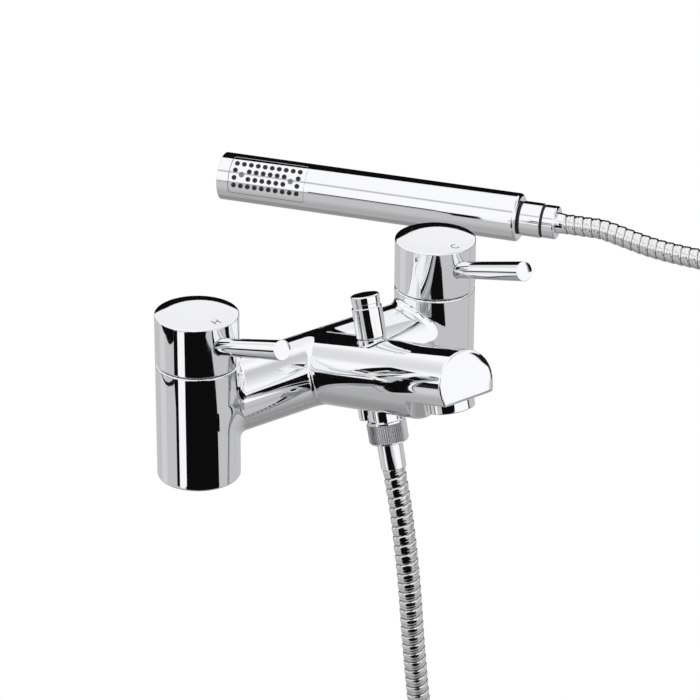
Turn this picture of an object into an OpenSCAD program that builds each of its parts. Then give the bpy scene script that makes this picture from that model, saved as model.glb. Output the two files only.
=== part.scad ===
// Deck-mounted bath shower mixer with a hand shower.
// Two pillars carry quarter-turn valves, a bridge joins them, and a rising spout holds the
// diverter, the aerator and the outlet for a ribbed hose that ends at a stick hand shower.
// The origin is on the deck, midway between the inlets. X runs from hot to cold, the spout
// points along -Y, and Z is up. Everything is in millimetres.

/* [Inlets] */
// Distance between the hot and the cold inlet
inlet_centres = 180; // [170:1:190]
// Bore of each inlet socket, for a three-quarter inch tail
inlet_bore_d = 24.2; // [22:0.1:26]
// Depth of each inlet socket
inlet_depth = 18; // [14:1:20]

/* [Body] */
// Diameter of the pillars and of the handle caps on them
pillar_d = 50; // [48:0.5:54]
// Height of the pillars
pillar_h = 73.6; // [72:0.2:78]
// Diameter of the bridge
bridge_d = 45; // [43:0.5:46]
// Height of the bridge's axis above the deck
bridge_z = 44; // [42:0.5:45]
// Waterway through the bridge
bridge_bore_d = 26; // [20:1:27]

/* [Spout] */
// Angle at which the spout rises to the front
spout_rise = 16; // [12:1:18]
// Length of the spout, from the bridge's axis to the end face
spout_len = 147; // [142:1:156]
// Radius of the spout where it leaves the bridge
spout_root_r = 22.2; // [21:0.1:22.3]
// Radius of the round top of the end face
spout_end_r = 19.7; // [18:0.1:20.5]
// Height of that round top's centre above the spout's axis
spout_end_lift = 2.7; // [1:0.1:4]
// Depth of the flat pad under the end, below the spout's axis
pad_depth = 6.6; // [6:0.1:8]
// Radius of the cut that clears the pad around the aerator
pad_cut_r = 26; // [24:0.5:27]

/* [Handles] */
// Height of the handle caps
cap_h = 31.6; // [29:0.2:34]
// Gap between a pillar and its cap
cap_gap = 0.6; // [0.4:0.1:1]
// Rise of the domed top of a cap
cap_dome = 1.2; // [0.5:0.1:2]
// Length of a lever outside its cap
lever_len = 62.5; // [50:0.5:80]
// Diameter of a lever at its root
lever_root_d = 10.4; // [9:0.1:11]
// Diameter of a lever at its tip
lever_tip_d = 12; // [10:0.1:14]
// Angle at which a lever rises
lever_rise = 19; // [15:1:21]

/* [Diverter and outlet] */
// Distance of the diverter's axis along the spout
diverter_s = 60.5; // [58:0.5:64]
// Lift of the diverter from bath to shower
diverter_lift = 10; // [8:0.5:10]
// Diameter of the knob's grip
knob_d = 18.2; // [16:0.1:20]
// Height of the knob
knob_h = 26; // [22:0.5:30]
// Diameter of the outlet's threaded stub
stub_d = 19.4; // [18.6:0.1:20]
// Diameter of the knurled hose nut
nut_d = 24; // [22.2:0.1:25]
// Distance of the aerator's axis behind the spout's end face
aerator_back = 19.6; // [19:0.2:21]
// Diameter of the aerator's ring
aerator_d = 28.4; // [27:0.1:30]
// Height of the aerator's ring below the pad
aerator_h = 7.3; // [5:0.1:9]

/* [Hose] */
// Outer diameter over the hose's ribs
hose_d = 14; // [13:0.1:14.4]
// Bore of the hose
hose_bore_d = 9; // [8.8:0.1:9.6]
// Ribs along the whole hose
hose_ribs = 200; // [100:5:200]
// Depth of the groove between two ribs
rib_depth = 0.8; // [0.4:0.1:1]

/* [Hand shower] */
// Diameter of the tube
tube_d = 33.5; // [31:0.5:34]
// Length of the tube
tube_len = 218; // [190:1:240]
// Wall of the tube
tube_wall = 2.5; // [2:0.1:2.8]
// Turn of the tube on the deck, from the X axis
tube_yaw = -57.2; // [-65:0.2:-50]
// Height that the spray plate faces, above the horizontal
plate_face = 32; // [30:1:60]
// Distance from the tube's end to the spray plate
plate_start = 8.6; // [8:0.1:12]
// Half of the angle that the spray plate spans
plate_half_angle = 50; // [47:0.5:54]
// Distance between nozzles along a row
nozzle_pitch = 5.2; // [5:0.05:5.6]
// Diameter of a nozzle's tip
nozzle_d = 3.3; // [2.6:0.1:3.6]
// Diameter of the connector at the tube's tail
connector_d = 24; // [21.6:0.1:25]

/* [Fits] */
// Radial clearance of a shaft that turns or slides
run_fit = 0.05; // [0.03:0.01:0.1]
// Radial clearance of a part that stays where it is fitted
set_fit = 0.08; // [0.05:0.01:0.15]
// Gap between faces that pass or meet each other when parts move
pass_gap = 0.3; // [0.2:0.05:0.4]

/* [Hidden] */
$fn = 64;
eps = 0.01;
half = inlet_centres/2;

// Levels inside a pillar, from the inlet to the top of the valve
seat_z = bridge_z - 14;
neck_z = pillar_h - 14;
recess_z = pillar_h - 3.5;
flange_top = pillar_h + 0.4;
hex_top = pillar_h + 6.2;
valve_top = pillar_h + 10.5;
seat_seal_t = 3;
disc_t = 3;
disc_gap = 0.1;
fixed_disc_z = seat_z + seat_seal_t;
moving_disc_z = fixed_disc_z + disc_t + disc_gap;
foot_z = moving_disc_z + disc_t;
foot_h = 4;
disc_d = 15.6;
disc_cavity_d = 16;
spindle_d = 10;
spline_d = 8;
base_seal_t = 1.5;
valve_cavity_d = pillar_d - 12;

// The handle caps
cap_z = pillar_h + cap_gap;
cap_top = cap_z + cap_h;
cap_wall = 3;
hub_d = 17;
hub_z = valve_top + 2;
cap_roof = cap_top - 5.5;
lever_z = cap_z + 18.4;
lever_inset = 11;
grub_z = hub_z + 5;
grub_d = 5;

// Distances from the spout's axis along the diverter: seats, stems and stacked hose parts
chamber_low = -15;
chamber_high = 3;
rear_bore_d = chamber_high - chamber_low;
rear_bore_n = (chamber_high + chamber_low)/2;
front_bore_d = 12;
front_bore_n = 12;
web_port_d = 12.5;
bush_seat = 19.6;
bush_top = spout_root_r + 1.2;
rod_d = 6;
knob_low = bush_top + 0.8;
piston_t = 5;
seal_t = 1.3;
piston_low = chamber_low + pass_gap + seal_t;
piston_top = piston_low + piston_t;
piston_d = 16.4;
stub_seat = -19.4;
stub_low = -35;
nut_top = -27.2;
washer_t = 2;
cone_flange_t = 2;
nut_lip_t = 1.9;
nut_low = stub_low - washer_t - cone_flange_t - nut_lip_t - 0.1;
cone_low = -57.3;
cone_neck_d = 15.8;
cone_end_d = 15.4;
ferrule_neck_d = 14.4;
tail_d = 7.8;
tail_len = 10;
core_plug_d = 10.8;
core_plug_seat = -20.6;
core_plug_s = diverter_s - nut_d/2 - core_plug_d/2 - 0.4;
core_plug_low = -29;
core_stem_d = 7.6;
aerator_s = spout_len - aerator_back;
aerator_bore_d = 24.2;
aerator_port_d = 15;
aerator_depth = 4;

// The hand shower's stack of parts, measured along the tube
tube_r = tube_d/2;
row_angle = 18.4;
screw_head_d = 3.8;
nozzle_cols = 10;
nozzle_start = plate_start + 4.4;
plate_len = 2*4.4 + (nozzle_cols - 1)*nozzle_pitch + 0.8;
bore_r = tube_r - tube_wall;
pad_r = bore_r - 0.2;
pad_t = 1.4;
carrier_t = 3;
ring_t = 1.8;
connector_len = 14.2;
thread_len = 8.6;
connector_thread_d = 17.8;
hs_ring2 = tube_len + ring_t + connector_len;
hs_nut = hs_ring2 + ring_t;
hs_nut_len = 10.6;
hs_nut_d = connector_d - 1;
hs_neck = hs_nut + hs_nut_len;
hs_neck_len = 6;
hs_end = hs_neck + hs_neck_len;
tube_home = [168.2, 330, tube_r];
tube_dir = [cos(tube_yaw), sin(tube_yaw), 0];

// Route of the hose: down from the outlet, in a loop below the deck, up over the deck's front
// edge and back along the deck to the hand shower.
outlet_dir = [0, -sin(spout_rise), -cos(spout_rise)];
spout_dir = [0, -cos(spout_rise), sin(spout_rise)];
hose_start = [0, 0, bridge_z] + diverter_s*spout_dir - cone_low*outlet_dir;
hose_finish = tube_home + hs_end*tube_dir;
straight = 24;
straight_end = 22;
route = [
  hose_start, hose_start + straight*outlet_dir,
  [-0.5, -89.6, -60], [2, -93, -112], [8, -94, -166], [18, -95, -220], [33, -96, -273],
  [54, -97, -324], [84, -98, -370], [124, -99, -406], [175, -100, -426], [229, -100, -426],
  [280, -100, -406], [320, -99, -370], [350, -98, -324], [371, -97, -273], [387, -96, -220],
  [399, -96, -166], [408, -96, -112], [412, -92, -60], [408, -75, -12], [392, -42, 11],
  [364, 8, 8], [337, 60, 9.5],
  hose_finish + straight_end*tube_dir, hose_finish
];

// Colours
chrome = [0.86, 0.87, 0.89];
brass = [0.78, 0.66, 0.36];
ceramic = [0.95, 0.95, 0.92];
rubber = [0.12, 0.12, 0.13];
steel = [0.7, 0.71, 0.73];
plastic = [0.85, 0.86, 0.86];

// Places
module at_side(side) { translate([side*half, 0, 0]) children(); }
module along_spout() { translate([0, 0, bridge_z]) rotate([90 - spout_rise, 0, 0]) children(); }
module across_spout(s) { along_spout() translate([0, 0, s]) rotate([-90, 0, 0]) children(); }
module along_lever() {
  translate([0, -pillar_d/2, lever_z]) rotate([90 - lever_rise, 0, 0]) children();
}
module along_tube() { translate(tube_home) rotate([0, 0, tube_yaw]) rotate([0, 90, 0]) children(); }
module at_plate() { along_tube() rotate([0, 0, 270 - plate_face]) children(); }

// Simple round shapes
module rod(d, low, high) { translate([0, 0, low]) cylinder(d = d, h = high - low); }
module tube(d, bore, low, high) {
  difference() {
    rod(d, low, high);
    rod(bore, low - 1, high + 1);
  }
}
module ring_seal(mean_d, wire_d, z) {
  translate([0, 0, z]) rotate_extrude() translate([mean_d/2, 0]) circle(d = wire_d, $fn = 24);
}
module chamfered_rod(d, low, high, c) {
  rotate_extrude()
    polygon([[0, low], [d/2 - c, low], [d/2, low + c], [d/2, high - c], [d/2 - c, high], [0, high]]);
}
module wedge(r, half_angle, low, high) {
  translate([0, 0, low]) linear_extrude(high - low)
    polygon([[0, 0], [r, -r*tan(half_angle)], [r, r*tan(half_angle)]]);
}
module shell_sector(r_in, r_out, half_angle, low, high) {
  intersection() {
    difference() {
      rod(2*r_out, low, high);
      rod(2*r_in, low - 1, high + 1);
    }
    wedge(2*r_out, half_angle, low - 1, high + 1);
  }
}

// The body: pillars, bridge and spout in one casting, with its waterways
module spout_form() {
  hull() {
    cylinder(r = spout_root_r, h = eps, $fn = 96);
    translate([0, spout_end_lift, spout_len - eps]) cylinder(r = spout_end_r, h = eps, $fn = 96);
    translate([0, -4.2, spout_len - eps]) cylinder(r = spout_root_r - 4.1, h = eps, $fn = 96);
  }
}
module pillar_bores() {
  rod(inlet_bore_d, -1, inlet_depth);
  rod(12, inlet_depth - 1, seat_z + 1);
  rod(valve_cavity_d, seat_z, neck_z);
  rod(21, neck_z - 1, pillar_h);
  rod(30, recess_z, pillar_h + 1);
}
module spout_bores() {
  along_spout() translate([0, rear_bore_n, 0]) cylinder(d = rear_bore_d - 2, h = diverter_s + 11);
  along_spout() translate([0, front_bore_n, diverter_s - 9])
    cylinder(d = front_bore_d, h = aerator_s - diverter_s + 15);
  across_spout(diverter_s) {
    rod(20, chamber_low, chamber_high);
    rod(web_port_d, chamber_high - 1, front_bore_n);
    rod(15, front_bore_n, 40);
    rod(17.4, bush_seat, 40);
    rod(16.2, -40, chamber_low + 1);
    rod(stub_d + 0.8, -40, stub_seat);
  }
  across_spout(core_plug_s) {
    rod(core_stem_d, -40, rear_bore_n);
    rod(core_plug_d + 0.4, -40, core_plug_seat);
  }
  across_spout(aerator_s) {
    rod(2*pad_cut_r, -45, -pad_depth);
    rod(aerator_bore_d, -pad_depth - 1, aerator_depth);
    rod(aerator_port_d, aerator_depth - 1, front_bore_n);
  }
}
module mixer_body() {
  color(chrome) difference() {
    union() {
      for (side = [-1, 1]) at_side(side) chamfered_rod(pillar_d, 0, pillar_h, 0.6);
      translate([-half, 0, bridge_z]) rotate([0, 90, 0]) cylinder(d = bridge_d, h = inlet_centres);
      along_spout() spout_form();
    }
    for (side = [-1, 1]) at_side(side) pillar_bores();
    translate([-half, 0, bridge_z]) rotate([0, 90, 0]) cylinder(d = bridge_bore_d, h = inlet_centres);
    spout_bores();
  }
}

// One quarter-turn valve: seals, ceramic discs, threaded body and spindle
module seat_seal(side) {
  color(rubber) at_side(side) tube(disc_d, 11, seat_z, fixed_disc_z);
}
module disc_ports(z) {
  for (a = [0, 180]) rotate([0, 0, a]) translate([3.9, 0, z - 1]) cylinder(d = 4.6, h = disc_t + 2);
}
module fixed_disc(side) {
  color(ceramic) at_side(side) difference() {
    rod(disc_d, fixed_disc_z, fixed_disc_z + disc_t);
    disc_ports(fixed_disc_z);
  }
}
module moving_disc(side) {
  color(ceramic) at_side(side) difference() {
    rod(disc_d, moving_disc_z, foot_z);
    rotate([0, 0, 90]) disc_ports(moving_disc_z);
  }
}
module base_seal(side) {
  color(rubber) at_side(side) tube(29, 21.6, recess_z, recess_z + base_seal_t);
}
module cartridge_body(side) {
  color(brass) at_side(side) difference() {
    union() {
      rod(19, seat_z + 0.6, neck_z + 1);
      rod(21 - 2*set_fit, neck_z, recess_z + 2);
      rod(29.4, recess_z + base_seal_t, flange_top);
      translate([0, 0, flange_top - eps]) cylinder(d = 27, h = hex_top - flange_top, $fn = 6);
      rod(15, hex_top - 1, valve_top);
    }
    rod(disc_cavity_d, seat_z - 1, foot_z + foot_h + 1);
    rod(spindle_d, seat_z, valve_top + 1);
    translate([-12, -4.5, foot_z + 0.5]) cube([24, 9, foot_h - 0.5]);
  }
}
module spindle(side) {
  color(brass) at_side(side) difference() {
    union() {
      intersection() {
        translate([-8, -3, foot_z]) cube([16, 6, foot_h]);
        rod(disc_d - 0.6, foot_z - 1, foot_z + foot_h + 1);
      }
      rod(spindle_d - 2*run_fit, foot_z + 1, valve_top + 1);
      rod(spline_d - 2*set_fit, valve_top, cap_roof - 1);
    }
    for (z = [neck_z - 2, neck_z + 6]) tube(spindle_d + 2, spindle_d - 3, z - 1, z + 1);
  }
}
module spindle_seals(side) {
  color(rubber) at_side(side)
    for (z = [neck_z - 2, neck_z + 6]) ring_seal(spindle_d - 1.6, 1.3, z);
}

// One handle: domed cap, lever and the screw that holds the cap on the spindle
function dome_points(r, top, sagitta, steps) =
  let (big = (r*r + sagitta*sagitta)/(2*sagitta))
  [for (i = [0:steps]) let (x = r*(1 - i/steps)) [x, top - big + sqrt(big*big - x*x)]];
module cap_form() {
  rim = pillar_d/2;
  rotate_extrude() polygon(concat(
    [[0, cap_z], [rim - 0.6, cap_z], [rim, cap_z + 0.6]],
    dome_points(rim, cap_top, cap_dome, 8)));
}
module handle_cap(side) {
  color(chrome) at_side(side) difference() {
    union() {
      difference() {
        cap_form();
        rod(pillar_d - 2*cap_wall, cap_z - 1, cap_roof);
      }
      rod(hub_d, hub_z, cap_roof + 1);
      intersection() {
        along_lever() rod(lever_root_d + 3, -lever_inset - 4, 4);
        rod(pillar_d - cap_wall, hub_z - 4, cap_roof + 1);
      }
    }
    rod(spline_d, hub_z - 8, cap_roof);
    along_lever() rod(lever_root_d + 2*set_fit, -lever_inset, 20);
    translate([0, 0, grub_z]) rotate([-90, 0, 0]) rod(grub_d, 0, pillar_d);
  }
}
module lever(side) {
  color(chrome) at_side(side) along_lever() rotate_extrude()
    polygon(concat(
      [[0, 0.2 - lever_inset], [lever_root_d/2, 0.2 - lever_inset], [lever_root_d/2, 2],
       [lever_tip_d/2, lever_len - 1]],
      dome_points(lever_tip_d/2 - 0.4, lever_len, 0.5, 4)));
}
module grub_screw(side) {
  color(steel) at_side(side) translate([0, 0, grub_z]) rotate([-90, 0, 0]) difference() {
    chamfered_rod(grub_d - 2*set_fit, spline_d/2 + 0.1, hub_d/2 + 0.5, 0.5);
    translate([0, 0, hub_d/2 - 2]) cylinder(d = 2.9, h = 5, $fn = 6);
  }
}

// The diverter, on an axis square to the spout
module diverter_bush() {
  color(chrome) across_spout(diverter_s) difference() {
    union() {
      rod(17.4 - 2*set_fit, bush_seat, bush_top);
      rod(15 - 2*set_fit, front_bore_n + 3, bush_seat + 1);
    }
    rod(rod_d + 2*run_fit, 0, 40);
    rod(rod_d + 3, front_bore_n + 5, front_bore_n + 6.8);
  }
}
module rod_seal() {
  color(rubber) across_spout(diverter_s)
    tube(rod_d + 2.8, rod_d + 2*run_fit, front_bore_n + 5.2, front_bore_n + 6.6);
}
module diverter_rod() {
  color(steel) across_spout(diverter_s) rod(rod_d, piston_low + 1, knob_low + 12);
}
module diverter_knob() {
  top = knob_low + knob_h;
  step = knob_low + 0.7*knob_h;
  neck = step + 2.4;
  r = knob_d/2;
  color(chrome) across_spout(diverter_s) difference() {
    rotate_extrude() polygon(concat(
      [[0, knob_low], [r - 0.5, knob_low], [r, knob_low + 0.5], [r, step - 0.3], [r - 0.3, step],
       [r - 0.8, step], [r - 0.8, neck - 0.4], [r - 0.5, neck], [r - 0.5, top - 1.2]],
      dome_points(r - 0.9, top, 0.6, 4)));
    rod(rod_d + 2*set_fit, knob_low - 1, knob_low + 12.3);
  }
}
module diverter_piston() {
  color(brass) across_spout(diverter_s) difference() {
    rod(piston_d, piston_low, piston_top);
    rod(rod_d + 2*set_fit, piston_low + 0.8, piston_top + 1);
  }
}
module piston_seals() {
  color(rubber) across_spout(diverter_s) {
    rod(piston_d - 0.8, piston_low - seal_t, piston_low);
    tube(piston_d - 0.8, web_port_d + 0.4, piston_top, piston_top + seal_t);
  }
}

// A round wire along a list of points, as one closed solid with flat ends
function unit(v) = v/norm(v);
function heading(pts, i) =
  unit(pts[min(i + 1, len(pts) - 1)] - pts[max(i - 1, 0)]);
function ring_at(c, t, ref, r, sides) =
  let (b = unit(cross(t, ref)), n = cross(b, t))
  [for (k = [0:sides - 1]) c + r*(cos(360*k/sides)*n + sin(360*k/sides)*b)];
function side_faces(first, rings, sides, flip) =
  [for (i = [0:rings - 2], k = [0:sides - 1])
    let (a = first + i*sides + k, b = first + i*sides + (k + 1)%sides, c = a + sides, d = b + sides)
    each flip ? [[a, c, b], [b, c, d]] : [[a, b, c], [b, d, c]]];

spring_turns = 7;
spring_steps = 14;
spring_low = piston_top + 0.15;
spring_high = front_bore_n + 3 - 0.15;
spring_r = 4.3;
wire_d = 0.9;
module diverter_spring() {
  sides = 5;
  count = spring_turns*spring_steps + 1;
  run = spring_high - spring_low - wire_d;
  pts = [for (i = [0:count - 1]) let (a = 360*i/spring_steps)
    [spring_r*cos(a), spring_r*sin(a), spring_low + wire_d/2 + run*i/(count - 1)]];
  rings = [for (i = [0:count - 1]) each ring_at(pts[i], heading(pts, i), [0, 0, 1], wire_d/2, sides)];
  last = (count - 1)*sides;
  color(steel) across_spout(diverter_s) polyhedron(rings, concat(
    side_faces(0, count, sides, true),
    [[for (k = [0:sides - 1]) k]],
    [[for (k = [sides - 1:-1:0]) last + k]]), convexity = 10);
}

// The aerator under the spout's end
module aerator_housing() {
  color(chrome) across_spout(aerator_s) difference() {
    union() {
      chamfered_rod(aerator_d, -pad_depth - aerator_h, -pad_depth, 0.6);
      rod(aerator_bore_d - 2*set_fit, -pad_depth - 1, aerator_depth - 2);
    }
    rod(aerator_bore_d - 3.2, -pad_depth - aerator_h - 1, 3);
  }
}
module aerator_insert() {
  low = -pad_depth - aerator_h + 1;
  color(plastic) across_spout(aerator_s) difference() {
    rod(aerator_bore_d - 3.2 - 2*set_fit, low, aerator_depth - 2.4);
    for (i = [-3:3], j = [-3:3])
      let (x = 2.9*(i + j/2), y = 2.9*0.866*j)
        if (norm([x, y]) < 9) translate([x, y, low - 1]) cylinder(d = 2.3, h = 40);
  }
}
module aerator_seal() {
  color(rubber) across_spout(aerator_s)
    tube(aerator_bore_d - 0.6, aerator_bore_d - 6.2, aerator_depth - 1.9, aerator_depth - 0.2);
}

// The shower outlet and the hose's first end
module outlet_stub() {
  thread_r = 8.1 - set_fit;
  color(chrome) across_spout(diverter_s) rotate_extrude() polygon([
    [5, stub_low], [stub_d/2, stub_low], [stub_d/2, stub_seat], [thread_r, stub_seat],
    [thread_r, chamber_low], [5, chamber_low]]);
}
module core_plug() {
  color(chrome) across_spout(core_plug_s) union() {
    chamfered_rod(core_plug_d, core_plug_low, core_plug_seat, 0.8);
    rod(core_stem_d - 2*set_fit, core_plug_seat - 0.4, -14);
  }
}
module hose_nut() {
  color(chrome) across_spout(diverter_s) difference() {
    chamfered_rod(nut_d, nut_low, nut_top, 0.6);
    rod(stub_d + 2*set_fit, nut_low + nut_lip_t, nut_top + 1);
    rod(cone_neck_d + 2*set_fit + 0.4, nut_low - 1, nut_top);
  }
}
module hose_washer() {
  color(rubber) across_spout(diverter_s) tube(stub_d - 1, 10, stub_low - washer_t, stub_low);
}
module hose_cone() {
  flange = stub_low - washer_t;
  color(chrome) across_spout(diverter_s) difference() {
    rotate_extrude() polygon([
      [0, flange], [stub_d/2 - 0.4, flange], [stub_d/2 - 0.4, flange - cone_flange_t],
      [cone_neck_d/2, flange - cone_flange_t], [cone_end_d/2, cone_low], [tail_d/2, cone_low],
      [tail_d/2, cone_low - tail_len], [0, cone_low - tail_len]]);
    rod(6, cone_low - tail_len - 1, flange + 1);
  }
}

// The ribbed hose: a bored, ribbed tube that follows the route
function spline(a, b, c, d, u) =
  0.5*((2*b) + (c - a)*u + (2*a - 5*b + 4*c - d)*u*u + (3*b - 3*c + d - a)*u*u*u);
function route_point(i) =
  i < 0 ? 2*route[0] - route[1] :
  i >= len(route) ? 2*route[len(route) - 1] - route[len(route) - 2] : route[i];
function span_len(i) = norm(route[i + 1] - route[i]);
route_len = [for (i = 0, sum = 0; i < len(route);
  sum = sum + (i < len(route) - 1 ? span_len(i) : 0), i = i + 1) sum];
function find_span(s, i = 0) = i >= len(route) - 2 || s < route_len[i + 1] ? i : find_span(s, i + 1);
function hose_at(s) =
  let (i = find_span(s), u = (s - route_len[i])/span_len(i))
  i == 0 || i == len(route) - 2 ? route[i] + u*(route[i + 1] - route[i]) :
  spline(route_point(i - 1), route[i], route[i + 1], route_point(i + 2), u);
module shower_hose() {
  sides = 8;
  total = route_len[len(route) - 1];
  outer = 2*hose_ribs + 1;
  inner = 61;
  pts = [for (i = [0:outer - 1]) hose_at(total*i/(outer - 1))];
  in_pts = [for (i = [0:inner - 1]) hose_at(total*i/(inner - 1))];
  ref = [0, 1, 0];
  skin = [for (i = [0:outer - 1])
    each ring_at(pts[i], heading(pts, i), ref, hose_d/2 - (i%2 == 0 ? rib_depth : 0), sides)];
  bore = [for (i = [0:inner - 1]) each ring_at(in_pts[i], heading(in_pts, i), ref, hose_bore_d/2, sides)];
  first_bore = outer*sides;
  last_skin = (outer - 1)*sides;
  last_bore = first_bore + (inner - 1)*sides;
  start_faces = [for (k = [0:sides - 1]) let (m = (k + 1)%sides)
    each [[k, first_bore + k, m], [m, first_bore + k, first_bore + m]]];
  end_faces = [for (k = [0:sides - 1]) let (m = (k + 1)%sides)
    each [[last_skin + k, last_skin + m, last_bore + k], [last_skin + m, last_bore + m, last_bore + k]]];
  color(steel) polyhedron(concat(skin, bore), concat(
    side_faces(0, outer, sides, false), side_faces(first_bore, inner, sides, true),
    start_faces, end_faces), convexity = 20);
}

// The hand shower's hose end
module handset_ferrule() {
  seat = hs_ring2 + thread_len + pass_gap;
  shoulder = hs_neck - nut_lip_t - pass_gap;
  color(chrome) along_tube() difference() {
    rotate_extrude() polygon([
      [0, seat], [connector_thread_d/2 - 0.3, seat], [connector_thread_d/2 - 0.3, shoulder],
      [ferrule_neck_d/2, shoulder], [ferrule_neck_d/2, hs_neck + 2], [hose_d/2 - 0.1, hs_end],
      [tail_d/2, hs_end], [tail_d/2, hs_end + tail_len], [0, hs_end + tail_len]]);
    rod(6, seat - 1, hs_end + tail_len + 1);
  }
}
module handset_nut() {
  r = hs_nut_d/2;
  color(chrome) along_tube() difference() {
    rotate_extrude() polygon([[0, hs_nut], [r - 0.2, hs_nut], [r, hs_nut + 0.2], [r, hs_neck - 1.8],
      [r - 0.5, hs_neck - 0.6], [r - 1.6, hs_neck], [0, hs_neck]]);
    rod(connector_thread_d + 2*set_fit, hs_nut - 1, hs_neck - nut_lip_t);
    rod(ferrule_neck_d + 2*run_fit, hs_nut, hs_neck + 1);
  }
}
module handset_washer() {
  face = hs_ring2 + thread_len;
  color(rubber) along_tube() tube(connector_thread_d - 1, 9, face - 1.6, face);
}
module handset_connector() {
  color(chrome) along_tube() difference() {
    union() {
      chamfered_rod(connector_d, tube_len + ring_t, hs_ring2, 0.4);
      rod(16 - 2*set_fit, tube_len - 9, tube_len + ring_t + 1);
      rod(connector_thread_d, hs_ring2 - 1, hs_ring2 + thread_len - 1.6);
    }
    rod(9, tube_len - 10, hs_ring2 + thread_len);
  }
}
module connector_ring() {
  color(rubber) along_tube() tube(connector_d - 1.2, 16.2, tube_len, tube_len + ring_t);
}
module nut_ring() {
  color(rubber) along_tube() tube(connector_d - 1.6, connector_thread_d + 0.2, hs_ring2, hs_ring2 + ring_t);
}

// The hand shower's tube and spray parts
module handset_tube() {
  round_r = 2.5;
  color(chrome) along_tube() difference() {
    rotate_extrude() union() {
      polygon([[0, 0], [tube_r - 0.3, 0], [tube_r, 0.3], [tube_r, tube_len - round_r],
        [tube_r - round_r, tube_len - round_r], [tube_r - round_r, tube_len], [0, tube_len]]);
      translate([tube_r - round_r, tube_len - round_r]) circle(r = round_r);
    }
    rod(2*bore_r, -1, tube_len - 8);
    rod(16, tube_len - 9, tube_len + 1);
    rotate([0, 0, 270 - plate_face]) wedge(2*tube_r, plate_half_angle, plate_start, plate_start + plate_len);
  }
}
module handset_end_plug() {
  color(chrome) along_tube() rod(2*bore_r - 2*set_fit, 0.2, 4);
}
function has_nozzle(row, col) = (row == 0 || row == 3) || (col != 1 && col != nozzle_cols - 2);
module at_nozzles() {
  for (row = [0:3], col = [0:nozzle_cols - 1])
    if (has_nozzle(row, col))
      translate([0, 0, nozzle_start + col*nozzle_pitch]) rotate([0, 0, (row - 1.5)*row_angle])
        rotate([0, 90, 0]) children();
}
module at_screws() {
  for (col = [1, nozzle_cols - 2])
    translate([0, 0, nozzle_start + col*nozzle_pitch]) rotate([0, 90, 0]) children();
}
module spray_plate() {
  slack = 0.6;
  color(chrome) at_plate() difference() {
    shell_sector(bore_r, tube_r - 0.1, plate_half_angle - slack, plate_start + 0.15,
      plate_start + plate_len - 0.15);
    at_nozzles() rod(nozzle_d + 0.3, bore_r - 2, tube_r + 2);
    at_screws() rod(2.9, bore_r - 2, tube_r - 1);
    at_screws() rod(screw_head_d + 0.2, tube_r - 1.5, tube_r + 2);
  }
}
module nozzle_pad() {
  color(rubber) at_plate() difference() {
    union() {
      shell_sector(pad_r - pad_t, pad_r, plate_half_angle - 4, plate_start + 1, plate_start + plate_len - 1);
      at_nozzles() rod(nozzle_d, pad_r - 0.8, tube_r + 0.5);
    }
    at_nozzles() rod(1, pad_r - pad_t - 1, tube_r + 2);
    at_screws() rod(2.9, pad_r - pad_t - 1, tube_r);
  }
}
module spray_carrier() {
  r = pad_r - pad_t - 0.1;
  color(plastic) at_plate() difference() {
    shell_sector(r - carrier_t, r, plate_half_angle - 4, plate_start + 1, plate_start + plate_len - 1);
    shell_sector(r - carrier_t - 1, r + 1, 15, nozzle_start + 2*nozzle_pitch - 1.5,
      nozzle_start + 7*nozzle_pitch + 1.5);
    at_screws() rod(2.6, r - carrier_t - 1, tube_r);
  }
}
module spray_screws() {
  color(steel) at_plate() at_screws() union() {
    rod(screw_head_d, tube_r - 1.4, tube_r - 0.1);
    rod(2.4, pad_r - pad_t - carrier_t, tube_r - 1);
  }
}

mixer_body();
seat_seal(-1);  // hot_seat_seal
fixed_disc(-1);  // hot_fixed_disc
base_seal(-1);  // hot_base_seal
cartridge_body(-1);  // hot_cartridge_body
moving_disc(-1);  // hot_moving_disc
spindle(-1);  // hot_spindle
spindle_seals(-1);  // hot_spindle_seals
handle_cap(-1);  // hot_handle_cap
lever(-1);  // hot_lever
grub_screw(-1);  // hot_grub_screw
seat_seal(1);  // cold_seat_seal
fixed_disc(1);  // cold_fixed_disc
base_seal(1);  // cold_base_seal
cartridge_body(1);  // cold_cartridge_body
moving_disc(1);  // cold_moving_disc
spindle(1);  // cold_spindle
spindle_seals(1);  // cold_spindle_seals
handle_cap(1);  // cold_handle_cap
lever(1);  // cold_lever
grub_screw(1);  // cold_grub_screw
diverter_bush();
rod_seal();
diverter_rod();
diverter_knob();
diverter_piston();
piston_seals();
diverter_spring();
aerator_housing();
aerator_insert();
aerator_seal();
outlet_stub();
core_plug();
hose_nut();
hose_washer();
hose_cone();
shower_hose();
handset_ferrule();
handset_nut();
handset_washer();
handset_connector();
connector_ring();
nut_ring();
handset_tube();
handset_end_plug();
spray_plate();
nozzle_pad();
spray_carrier();
spray_screws();
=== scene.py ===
# %% [markdown]
# # A chrome bath shower mixer
# This notebook dresses a finished CAD model of a deck-mounted bath shower mixer. The CAD pieces
# already sit where they belong, in metres, so every cell below adds shape and finish to them.
# We load that frame first. Nothing here may grow past it.

# %% Load the frame
import math

import bpy
import numpy as np
from mathutils import Matrix, Vector, geometry


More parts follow.
